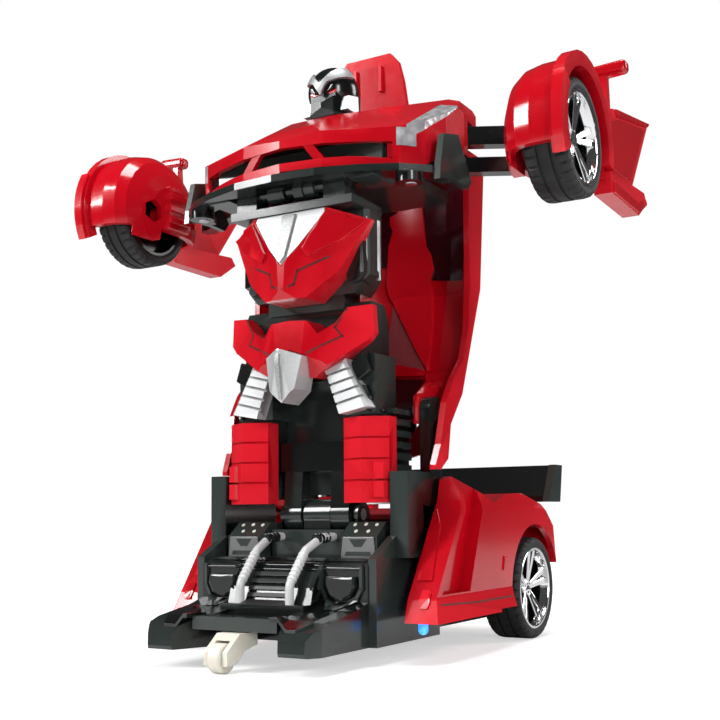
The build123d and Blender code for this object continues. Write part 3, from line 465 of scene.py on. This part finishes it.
def rim_studs(node, out, hub_x):
    """Five studs round a small cap on the hub."""
    centre = centre_mm(node)
    stud = [(0, NEAR_AXIS), (0, 0.42), (out * 0.35, 0.36), (out * 0.35, NEAR_AXIS)]
    cap = [(0, NEAR_AXIS), (0, 0.8), (out * 0.3, 0.7), (out * 0.3, NEAR_AXIS)]
    meshes = []
    for i in range(SPOKE_PAIRS):
        angle = pi / 2 + 2 * pi * (i + 0.5) / SPOKE_PAIRS
        spot = Vector((hub_x - out * 0.2, STUD_RING * cos(angle), STUD_RING * sin(angle)))
        meshes.append(revolved("stud", stud, centre + spot, 12))
    meshes.append(revolved("cap", cap, centre + Vector((hub_x, 0, 0)), 24))
    return joined(node + "_studs", meshes)


def rim_piece(node, body, out):
    """Plated spoked face on a black core. out is +1 where the face looks along +X."""
    size = (high(node) - low(node)) / MM
    half, radius = size.x / 2, size.z / 2
    hub_x = out * (half - 0.9) - out * 2.0
    face = add_piece(node + "_face", rim_face(node, out, half, radius, hub_x), MATERIALS["chrome_rim"],
                     body, edge=0.3)
    core = add_piece(node + "_core", rim_core(node, out, half, radius), BLACK, body,
                     edge=0.2)
    add_piece(node + "_studs", rim_studs(node, out, hub_x), BLACK, body, edge=0)
    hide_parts(node)
    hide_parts(node)


def build_wheels():
    for side, out in SIDES.items():
        for place, body in WHEELS.items():
            carrier = body if place == "rear" else f"{body}_{side}"
            tyre_piece(f"{place}_tyre_{side}", carrier)
            rim_piece(f"{place}_rim_{side}", carrier, out)


build_wheels()


# ---- thin pieces laid on the CAD surfaces --------------------------------------------------------
# For each side it is seen from: the two directions of an outline, and the direction of sight.
VIEWS = {"front": (0, 2, Vector((0, 1, 0))), "right": (1, 2, Vector((-1, 0, 0))),
         "left": (1, 2, Vector((1, 0, 0))), "top": (0, 1, Vector((0, 0, -1)))}
SINK = 0.4                  # how far a sheet's underside lies below the surface
surfaces = {}


def surface_of(node):
    """Search tree of a CAD node's mesh."""
    if node not in surfaces:
        mesh = frame["nodes"][node].data
        surfaces[node] = BVHTree.FromPolygons([v.co for v in mesh.vertices],
                                              [tuple(p.vertices) for p in mesh.polygons])
    return surfaces[node]


def laid(node, view, outline, lift, step=3.0):
    """Sheet that follows a CAD node's surface. The outline is in fractions of the node's box."""
    first, second, sight = VIEWS[view]
    third = 3 - first - second
    a, b = low(node), high(node)
    start = a[third] - MM if sight[third] > 0 else b[third] + MM
    work = bmesh.new()
    corners = []
    for u, w in outline:
        corner = Vector((0, 0, 0))
        corner[first] = a[first] + (b[first] - a[first]) * u
        corner[second] = a[second] + (b[second] - a[second]) * w
        corner[third] = start
        corners.append(work.verts.new(corner))
    work.faces.new(corners)
    for axis in (first, second):
        normal = Vector((0, 0, 0))
        normal[axis] = 1
        reach = [v.co[axis] for v in work.verts]
        cuts = int((max(reach) - min(reach)) / (step * MM))
        for i in range(cuts):
            spot = Vector((0, 0, 0))
            spot[axis] = min(reach) + (i + 1) * step * MM
            geometry = work.verts[:] + work.edges[:] + work.faces[:]
            bmesh.ops.bisect_plane(work, geom=geometry, plane_co=spot, plane_no=normal)
    bmesh.ops.triangulate(work, faces=work.faces[:])
    tree = surface_of(node)
    for vert in work.verts:
        hit = tree.ray_cast(vert.co, sight)[0]
        if hit is None:
            nearest = tree.find_nearest(vert.co + sight * (b[third] - a[third]) / 2)[0]
            hit = vert.co + sight * (nearest - vert.co).dot(sight)
        vert.co = hit + sight * SINK * MM
    outer = bmesh.ops.extrude_face_region(work, geom=work.faces[:])["geom"]
    for vert in [g for g in outer if isinstance(g, bmesh.types.BMVert)]:
        vert.co -= sight * (lift + SINK) * MM
    bmesh.ops.recalc_face_normals(work, faces=work.faces[:])
    mesh = bpy.data.meshes.new("laid")
    work.to_mesh(mesh)
    work.free()
    return mesh


def line_quads(node, view, points, width):
    """Outlines of the straight pieces of a line, width in millimetres."""
    first, second, _ = VIEWS[view]
    size = (high(node) - low(node)) / MM
    wide, tall = size[first], size[second]
    for (u0, w0), (u1, w1) in zip(points, points[1:]):
        along = Vector(((u1 - u0) * wide, (w1 - w0) * tall)).normalized() * width / 2
        across = Vector((-along.y, along.x))
        corners = [(u0, w0, -1, -1), (u1, w1, 1, -1), (u1, w1, 1, 1), (u0, w0, -1, 1)]
        yield [(u + (along.x * s + across.x * t) / wide, w + (along.y * s + across.y * t) / tall)
               for u, w, s, t in corners]


def patch(name, node, view, outlines, lift, material, body, edge=0.15):
    """One piece made of sheets laid on a CAD node."""
    mesh = joined(name, [laid(node, view, outline, lift) for outline in outlines])
    return add_piece(name, mesh, material, body, edge)


def groove(name, node, view, lines, width, material, body, slot, lift=0.05):
    """Thin lines laid on a CAD node, such as panel gaps."""
    quads = [quad for points in lines for quad in line_quads(node, view, points, width)]
    mesh = joined(name, [laid(node, view, quad, lift) for quad in quads])
    return add_piece(name, mesh, material, body, edge=0)


def plate(node, view, outline, out, thick):
    """Flat plate that stands out from the face of a node's box, thick millimetres deep."""
    first, second, sight = VIEWS[view]
    third = 3 - first - second
    a, b = low(node) / MM, high(node) / MM
    face = a[third] if sight[third] > 0 else b[third]
    corners = []
    for u, w in outline:
        corner = Vector((0, 0, 0))
        corner[first] = a[first] + (b[first] - a[first]) * u
        corner[second] = a[second] + (b[second] - a[second]) * w
        corner[third] = face - sight[third] * out
        corners.append(corner)
    return prism("plate", corners, sight * thick)


def rod(start, end, radius, steps=20):
    """Round bar between two points, in millimetres."""
    start, end = Vector(start), Vector(end)
    turn = (end - start).to_track_quat("Z", "Y")
    ring = [turn @ Vector((radius * cos(2 * pi * i / steps), radius * sin(2 * pi * i / steps), 0))
            for i in range(steps)]
    return prism("rod", [start + c for c in ring], end - start)


def disc(centre, radii, steps=10):
    """Outline of an ellipse in fractions of a box."""
    return [(centre[0] + radii[0] * cos(2 * pi * i / steps), centre[1] + radii[1] * sin(2 * pi * i / steps))
            for i in range(steps)]


def mirrored_for(side, outline):
    """The outline as it lies on the right-hand or the left-hand part."""
    return outline if side == "right" else [(1 - u, w) for u, w in outline]


def both(*outlines):
    """The outlines and their mirror images."""
    return [*outlines, *[[(1 - u, w) for u, w in outline] for outline in outlines]]


GAP_DARK = moulded_plastic("gap_shadow", (0.05, 0.0005, 0.001), (0.08, 0.001, 0.002), (0.1, 0.001, 0.002),
                           0.5, 0.0)

# ---- roof shell ----------------------------------------------------------------------------------
RAISED_STRIP = [(0.59, 0.713), (0.60, 0.62), (0.566, 0.612), (0.568, 0.594), (0.583, 0.576), (0.566, 0.542),
                (0.564, 0.447), (0.58, 0.417), (0.665, 0.345), (0.753, 0.272), (0.816, 0.224),
                (0.80, 0.34), (0.762, 0.442), (0.776, 0.47), (0.76, 0.505), (0.736, 0.53), (0.72, 0.60),
                (0.698, 0.685)]
PALE_LIT_CORNER = [(0.598, 0.405), (0.62, 0.24), (0.80, 0.226), (0.77, 0.258), (0.68, 0.33)]
SIDE_WINDOW = [(0.69, 0.686), (0.70, 0.45), (0.912, 0.432), (0.925, 0.675)]
MIDDLE_WINDOW = [(0.39, 0.70), (0.41, 0.49), (0.59, 0.49), (0.61, 0.70)]
LOWER_RECESS = [(0.635, 0.212), (0.80, 0.205), (0.82, 0.13), (0.78, 0.06), (0.66, 0.09), (0.64, 0.14)]
LOWER_BULGE = [(0.815, 0.216), (0.90, 0.214), (0.935, 0.10), (0.93, 0.05), (0.86, 0.04), (0.79, 0.03),
               (0.78, 0.065), (0.845, 0.13)]
SHELF = [(0.60, 0.238), (0.64, 0.247), (0.70, 0.241), (0.80, 0.226), (0.80, 0.212), (0.63, 0.217)]


def dress_roof():
    node, body = "roof_shell", "roof"
    # the lighter reds on strips, corners and bulges are painted light; the dark maroon is window tint and
    # painted shade
    patch("roof_strips", node, "front", both(RAISED_STRIP), 1.3, LIT_RED, body, 0.5)
    patch("roof_corners", node, "front", both(PALE_LIT_CORNER), 0.5, PALE_LIT_RED, body, 0.1)
    patch("roof_side_windows", node, "front", both(SIDE_WINDOW), 0.3, TINT_AND_SHADE, body, 0.1)
    patch("roof_middle_window", node, "front", [MIDDLE_WINDOW], 0.3, TINT_AND_SHADE, body, 0.1)
    # dark sheets on the lower recesses: painted shade
    patch("roof_recesses", node, "front", both(LOWER_RECESS), 0.3, TINT_AND_SHADE, body, 0.1)
    patch("roof_bulges", node, "front", both(LOWER_BULGE), 1.6, LIT_RED, body, 0.7)
    patch("roof_shelves", node, "front", both(SHELF), 2.2, RED, body, 0.6)


dress_roof()

# ---- torso ---------------------------------------------------------------------------------------
CHEST_WING = [(0.635, 0.54), (0.765, 0.93), (0.872, 0.91), (0.885, 0.86), (0.985, 0.83), (0.85, 0.62),
              (0.665, 0.45)]
CHEST_SHIELD_LINE = [(0.5, 0.11), (0.578, 0.15), (0.60, 0.30), (0.775, 0.44)]
HIP_LINE = [(0.62, 0.34), (0.825, 0.56), (0.785, 0.69), (0.85, 0.94)]
CROTCH_RIDGE = [(0.42, 0.93), (0.5, 0.97), (0.56, 0.90), (0.54, 0.06), (0.46, 0.06)]
INSERT_RIDGE = [(0.44, 0.14), (0.40, 0.96), (0.60, 0.96), (0.56, 0.14), (0.5, 0.02)]


def dress_torso():
    body = "robot_body"
    patch("chest_wings", "chest_plate", "front", both(CHEST_WING), 1.4, RED, body, 0.4)
    groove("chest_lines", "chest_plate", "front", both(CHEST_SHIELD_LINE), 0.8, GAP_DARK, body, "red_plastic")
    groove("hip_lines", "hip_plate", "front", both(HIP_LINE), 0.7, GAP_DARK, body, "red_plastic")
    patch("crotch_ridge", "crotch_plate", "front", [CROTCH_RIDGE], 0.8, MATERIALS["silver_paint"], body,
          0.4)
    patch("chest_ridge", "chest_insert", "front", [INSERT_RIDGE], 0.9, MATERIALS["silver_paint"], body,
          0.4)


dress_torso()

# ---- feet ----------------------------------------------------------------------------------------
# Grey on the light boxes' glossy black faces: painted reflection.
REFLECTION_GREY = moulded_plastic("grey_face", (0.060, 0.064, 0.062), (0.12, 0.125, 0.12), (0.3, 0.3, 0.3), 0.28, 0.1)
BOX_FACE = [(0.02, 0.0), (0.98, 0.0), (0.92, 0.58), (0.08, 0.58)]
BOX_HOLLOWS = [[(0.26, 0.52), (0.74, 0.52), (0.60, 0.30), (0.40, 0.30)],
               [(0.14, 0.05), (0.86, 0.05), (0.83, 0.17), (0.17, 0.17)]]
HOSE_RINGS = 7
HOSE_INSET = 2.3            # from the side of the hoses' box to a hose's centre line at the front
HOSE_RING_R = 1.62
HOSE_RUN = ((0.094, 0.332), (0.376, 0.718))   # ends of the straight slope, in the hoses' box
HOSE_SLEEVES = 4
SLEEVE_PITCH = Vector((0, 1.9, 0.12))
SLEEVE_LENGTH = Vector((0, 1.3, 0))
SLEEVE_R = 1.75
KNOB_R = 2.1
BAR_TALL, VENT_TALL = 0.022, 0.034
BOX_DOTS = [(0.2, 0.64), (0.5, 0.66), (0.8, 0.64), (0.34, 0.28), (0.68, 0.28)]
FRONT_BARS = (0.655, 0.692, 0.729)
VENT_BARS = (0.36, 0.42, 0.48, 0.54, 0.60)
RECESS_RIM = [(0.745, 0.68), (0.745, 0.50), (0.775, 0.40), (0.83, 0.345), (0.885, 0.345), (0.94, 0.40),
              (0.97, 0.50), (0.97, 0.68)]
HALF_LAMP = [(0.775, 0.60), (0.94, 0.60), (0.945, 0.52), (0.92, 0.43), (0.875, 0.39), (0.84, 0.39),
             (0.795, 0.43), (0.77, 0.52)]
TOE_RIDGE = [(0.74, 0.03), (0.88, 0.03), (0.93, 0.10), (0.95, 0.24), (0.90, 0.26), (0.88, 0.20),
             (0.83, 0.22), (0.80, 0.15), (0.75, 0.17)]


def hose_ribs():
    """Rings along the sloping run of each hose."""
    rings = []
    for u, toward in ((0, -1), (1, 1)):
        inward = Vector((toward * HOSE_INSET, 0, 0))
        lower, upper = (inside("leg_hoses", u, *spot) / MM - inward for spot in HOSE_RUN)
        for step in range(HOSE_RINGS):
            ends = [lower.lerp(upper, (step + share) / HOSE_RINGS) for share in (0.0, 0.6)]
            rings.append(rod(*ends, HOSE_RING_R))
    return rings


def hose_sleeves():
    """Short collars along the level run of each hose."""
    sleeves = []
    for u, toward in ((0, -1), (1, 1)):
        first = inside("leg_hoses", u, 0.60, 0.94) / MM - Vector((toward * 1.7, 0, 0.6))
        for step in range(HOSE_SLEEVES):
            start = first + SLEEVE_PITCH * step
            sleeves.append(rod(start, start + SLEEVE_LENGTH, SLEEVE_R))
    return sleeves


def dress_light_box(side, body):
    box = f"light_box_{side}"
    add_piece(f"{box}_face", plate(box, "front", BOX_FACE, 0.45, 0.45), REFLECTION_GREY, body, 0.15)
    hollows = joined("hollows", [plate(box, "front", outline, 0.55, 0.4) for outline in BOX_HOLLOWS])
    add_piece(f"{box}_hollows", hollows, BLACK, body, 0)
    dots = [disc(spot, (0.045, 0.07)) for spot in BOX_DOTS]
    patch(f"{box}_dots", box, "top", dots, 0.2, MATERIALS["white_nylon"], body, 0)


def dress_feet():
    node, body = "foot_housing", "chassis"
    bars = [[(0.03, w), (0.97, w), (0.97, w + BAR_TALL), (0.03, w + BAR_TALL)] for w in FRONT_BARS]
    patch("foot_bars", node, "front", bars, 0.7, BLACK, body, 0.15)
    vents = [[(0.37, w), (0.63, w), (0.63, w + VENT_TALL), (0.37, w + VENT_TALL)] for w in VENT_BARS]
    patch("foot_vents", node, "front", vents, 0.9, MATT_BLACK, body, 0.15)
    groove("foot_lamp_rims", node, "front", both(RECESS_RIM), 1.0, BLACK, body, "black_plastic", 1.1)
    lamps = patch("foot_half_lamps", node, "front", both(HALF_LAMP), 2.0, BLACK, body, 0.8)
    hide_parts("foot_lamps")
    patch("toe_ridges", node, "top", both(TOE_RIDGE), 0.9, BLACK, body, 0.3)
    knobs = [rod(inside(node, u, 0.245, 0.17) / MM, inside(node, u, 0.245, 0.25) / MM, KNOB_R)
             for u in (0.28, 0.72)]
    add_piece("foot_knobs", joined("foot_knobs", knobs), BLACK, body, 0.4)
    for side in SIDES:
        dress_light_box(side, body)
    add_piece("hose_sleeves", joined("hose_sleeves", hose_sleeves()), BLACK, body, 0.2)
    add_piece("hose_ribs", joined("hose_ribs", hose_ribs()), PALE_SILVER, body, 0.15)


dress_feet()

# ---- frame between the legs and the chest --------------------------------------------------------
TORSO_CHEEK = [(0.79, 0.972), (0.885, 0.972), (0.892, 0.80), (0.865, 0.768), (0.80, 0.768), (0.775, 0.83)]
HIP_BLOCK = [(0.84, 0.455), (0.935, 0.49), (0.90, 0.55), (0.82, 0.52)]
LEG_BAR = [(0.855, 0.45), (0.90, 0.45), (0.955, 0.37), (0.91, 0.36)]
EYE = [(0.60, 0.742), (0.69, 0.738), (0.80, 0.752), (0.79, 0.765), (0.68, 0.758)]
BAR_OFFSET = Vector((0, 2.4, -2.4))   # from the top front of the pins' box to the upper pin's axis
SLEEVE_SPANS = ((-3.9, 3.9), (9.7, 13.5), (-13.5, -9.7))
FOLD_DRUMS = ((-6.2, -2.6, 3.9), (1.4, 5.4, 4.6), (5.4, 7.2, 2.2), (-7.4, -6.2, 2.2))


def dress_frame():
    node, body = "body_frame", "robot_body"
    patch("torso_cheeks", node, "front", both(TORSO_CHEEK), 2.4, BLACK, body, 1.0)
    groove("torso_trims", node, "front", both([(0.896, 0.79), (0.896, 0.972)]), 0.8,
           MATERIALS["silver_paint"], body, "silver_paint", 0.5)
    patch("hip_blocks", node, "front", both(HIP_BLOCK), 3.0, BLACK, body, 0.4)
    patch("leg_bars", node, "front", both(LEG_BAR), 2.0, BLACK, body, 0.4)
    bar = inside("hinge_pins", 0.5, 0, 1) / MM + BAR_OFFSET

    def along_bar(x0, x1, radius, steps):
        return rod(bar + Vector((x0, 0, 0)), bar + Vector((x1, 0, 0)), radius, steps)

    sleeves = [along_bar(x0, x1, 2.75, 28) for x0, x1 in SLEEVE_SPANS]
    add_piece("hinge_sleeves", joined("hinge_sleeves", sleeves), BLACK, body, 0.3)
    drums = [along_bar(x0, x1, radius, 36) for x0, x1, radius in FOLD_DRUMS]
    add_piece("fold_drums", joined("fold_drums", drums), BLACK, body, 0.4)
    patch("eyes", "helmet", "front", both(EYE), 0.25, LIT_RED, "head", 0)


dress_frame()

# ---- body panels ---------------------------------------------------------------------------------
FLANGE = [(0.27, 0.675), (0.955, 0.85), (0.985, 0.885), (0.235, 0.715)]
DOOR_FIELD = [(0.16, 0.25), (0.52, 0.27), (0.88, 0.80), (0.30, 0.66), (0.13, 0.58)]
SILL_STEP = [(0.03, 0.015), (0.55, 0.015), (0.73, 0.13), (0.70, 0.165), (0.53, 0.085), (0.03, 0.095)]
CORNER_LAMP = [(0.62, 0.10), (0.76, 0.10), (0.80, 0.13), (0.78, 0.20), (0.72, 0.22), (0.62, 0.22),
               (0.60, 0.16)]
FRONT_FIELD = [(0.46, 0.28), (0.74, 0.28), (0.58, 0.66), (0.44, 0.76), (0.36, 0.74)]
ARCH_LAMP = [(0.505, 0.30), (0.535, 0.30), (0.545, 0.40), (0.515, 0.41)]
SILL_LINE = [(0.05, 0.12), (0.30, 0.10), (0.60, 0.10)]
RIB_BLOCK = [(-4.0, -6.5), (9.0, -6.5), (9.5, 2.0), (7.0, 10.5), (-3.0, 10.5)]
RIB_HEIGHTS = (-4.0, 0.5, 5.0)
RIB_SPAN, RIB_TALL = (-3.6, 8.8), 2.6
JAMB = ((0.372, 0.22, 0.05), (0.392, 0.22, 0.05), (0.392, 0.22, 0.27), (0.372, 0.22, 0.27))
JAMB_DEPTH = 9


def around(node, view, centre, points):
    """Fractions of a node's box for points given in millimetres from a centre."""
    first, second, _ = VIEWS[view]
    a, b = low(node) / MM, high(node) / MM
    return [((centre[first] + u - a[first]) / (b[first] - a[first]),
             (centre[second] + w - a[second]) / (b[second] - a[second]))
            for u, w in points]


def dress_door(side, arm):
    door = f"door_{side}"
    patch(f"{door}_flange", door, side, [FLANGE], 0.9, RED, arm, 0.3)
    patch(f"{door}_field", door, side, [DOOR_FIELD], 0.6, RED, arm, 0.45)
    patch(f"{door}_sill", door, side, [SILL_STEP], 0.7, RED, arm, 0.3)


def dress_fender(side, arm):
    """Ribbed block on the inner face, beside the wheel's hub."""
    fender, inner = f"fender_{side}", "left" if side == "right" else "right"
    hub = centre_mm(f"front_rim_{side}")
    block = around(fender, inner, hub, RIB_BLOCK)
    patch(f"{fender}_block", fender, inner, [block], 2.2, RED, arm, 0.5)
    near, far = RIB_SPAN
    ribs = [around(fender, inner, hub, [(near, w), (far, w), (far, w + RIB_TALL), (near, w + RIB_TALL)])
            for w in RIB_HEIGHTS]
    patch(f"{fender}_ribs", fender, inner, ribs, 3.0, RED, arm, 0.4)


def dress_quarter(side):
    quarter = f"rear_quarter_{side}"
    lamp, field = mirrored_for(side, CORNER_LAMP), mirrored_for(side, FRONT_FIELD)
    patch(f"{quarter}_lamp", quarter, "front", [lamp], 0.6, RED, "chassis", 0.3)
    patch(f"{quarter}_field", quarter, "front", [field], 0.7, RED, "chassis", 0.4)
    patch(f"{quarter}_marker", quarter, side, [ARCH_LAMP], 0.5, RED, "chassis", 0.25)
    groove(f"{quarter}_line", quarter, side, [SILL_LINE], 0.6, GAP_DARK, "chassis", "red_plastic")


def dress_bonnet(side, out):
    """Jamb at the end of the grille and a screw in the boss under the splitter."""
    jamb = [inside("bonnet_shell", 0.5 + out * u, v, w) / MM for u, v, w in JAMB]
    add_piece(f"grille_jamb_{side}", prism("jamb", jamb, (0, JAMB_DEPTH, 0)), BLACK, "bonnet",
              0.3)
    boss = inside("splitter", 0.5 + out * 0.404, 0.42, 0) / MM
    screw = rod(boss - Vector((0, 0, 0.3)), boss + Vector((0, 0, 1.0)), 2.0)
    add_piece(f"boss_screw_{side}", screw, MATERIALS["steel"], "bonnet", 0.3)


def dress_panels():
    for side, out in SIDES.items():
        dress_door(side, f"side_{side}")
        dress_fender(side, f"side_{side}")
        dress_quarter(side)
        dress_bonnet(side, out)


dress_panels()

# ---- dark panels inside the bonnet and behind the thighs -----------------------------------------
BONNET_BACKING = [(-34, 1.0), (34, 1.0), (34, 14.0), (18, 17.2), (-18, 17.2), (-34, 14.0)]
PANEL_THICK = 1.2
THIGH_BACKING = [(-15.5, 13.0), (15.5, 13.0), (15.5, 60.0), (-15.5, 60.0)]


def back_panel(name, node, depth, outline, body):
    """Upright panel, depth and outline in millimetres from the front lower edge of a node's box."""
    base = inside(node, 0.5, 0, 0) / MM
    corners = [base + Vector((x, depth, z)) for x, z in outline]
    add_piece(name, prism(name, corners, (0, PANEL_THICK, 0)), BLACK, body, 0.3)


back_panel("bonnet_backing", "bonnet_shell", 12.4, BONNET_BACKING, "bonnet")
back_panel("thigh_backing", "body_frame", 12.0, THIGH_BACKING, "robot_body")

# ---- stage, lights and camera --------------------------------------------------------------------


FLOOR_HALF = 6.0
AIM = Vector((0, 0, 0.12))
LENS, LENS_SHIFT = 54.36, 0.0843
EYE_PLACE = (0.2016, -0.3376, 0.0465)
EYE_HEADING, EYE_TILT, EYE_ROLL = radians(30.19), radians(95.0), radians(-0.47)


def build_floor():
    """White floor that glows for the camera and only takes shadows from the lights."""
    half = FLOOR_HALF
    corners = [(-half, -half, 0), (half, -half, 0), (half, half, 0), (-half, half, 0)]
    floor = bpy.data.meshes.new("floor")
    floor.from_pydata(corners, [], [(0, 1, 2, 3)])
    plane = bpy.data.objects.new("floor", floor)
    bpy.context.scene.collection.objects.link(plane)
    shader = Shader("pale_floor", Roughness=0.7, Specular_IOR_Level=0.1)
    shader.set("Base Color", shader.ramp(shader.noise(3.0), [(0.3, (0.70, 0.70, 0.70)),
                                                             (0.75, (0.74, 0.74, 0.74))]))
    reach = shader.add("ShaderNodeVectorMath", {"operation": "LENGTH"})
    shader.feed(reach.inputs[0], shader.place())
    glow = shader.add("ShaderNodeMapRange", {"interpolation_type": "SMOOTHSTEP"},
                      Value=reach.outputs["Value"], From_Min=0.15, From_Max=1.2, To_Min=0.55, To_Max=1.0)
    seen = shader.add("ShaderNodeLightPath").outputs["Is Camera Ray"]
    strength = shader.add("ShaderNodeMath", {"operation": "MULTIPLY"})
    shader.feed(strength.inputs[0], glow.outputs["Result"])
    shader.feed(strength.inputs[1], seen)
    shader.set("Emission Color", (1.0, 1.0, 1.0, 1.0))
    shader.set("Emission Strength", strength.outputs["Value"])
    floor.materials.append(shader.material)


def build_world():
    """White backdrop for the camera, and only a little light from it."""
    world = bpy.data.worlds.new("studio")
    bpy.context.scene.world = world
    world.use_nodes = True
    nodes, links = world.node_tree.nodes, world.node_tree.links
    backdrop = nodes["Background"]
    backdrop.inputs["Color"].default_value = (1.0, 1.0, 1.0, 1.0)
    path = nodes.new("ShaderNodeLightPath")
    level = nodes.new("ShaderNodeMapRange")
    level.inputs["To Min"].default_value = 0.05
    level.inputs["To Max"].default_value = 1.0
    links.new(path.outputs["Is Camera Ray"], level.inputs["Value"])
    links.new(level.outputs["Result"], backdrop.inputs["Strength"])


def area_light(name, place, size, power, colour=(1, 1, 1)):
    """Softbox aimed at the middle of the object."""
    light = bpy.data.lights.new(name, "AREA")
    light.shape = "RECTANGLE"
    light.size, light.size_y = size
    light.energy = power
    light.color = colour
    lamp = bpy.data.objects.new(name, light)
    lamp.location = place
    lamp.rotation_euler = (AIM - lamp.location).to_track_quat("-Z", "Y").to_euler()
    bpy.context.scene.collection.objects.link(lamp)


def build_lights():
    area_light("key", Vector((-0.70, -0.85, 0.75)), (0.25, 0.6), 13)
    area_light("fill", Vector((0.95, -0.80, 0.35)), (0.2, 0.6), 6)
    area_light("top", Vector((0.1, -0.05, 1.15)), (0.6, 0.4), 10)
    area_light("rim", Vector((0.9, 0.8, 0.6)), (0.4, 0.6), 6)


def build_camera():
    camera = bpy.data.cameras.new("camera")
    camera.sensor_width = 36.0
    camera.lens = LENS
    camera.shift_y = LENS_SHIFT
    camera.clip_start = 0.01
    eye = bpy.data.objects.new("camera", camera)
    turn = Matrix.Rotation(EYE_HEADING, 4, "Z") @ Matrix.Rotation(EYE_TILT, 4, "X")
    roll = Matrix.Rotation(EYE_ROLL, 4, "Z")
    eye.matrix_world = Matrix.Translation(EYE_PLACE) @ turn @ roll
    bpy.context.scene.collection.objects.link(eye)
    bpy.context.scene.camera = eye


build_floor()
build_world()
build_lights()
build_camera()
bpy.context.scene.view_settings.view_transform = "Standard"
bpy.context.view_layer.update()
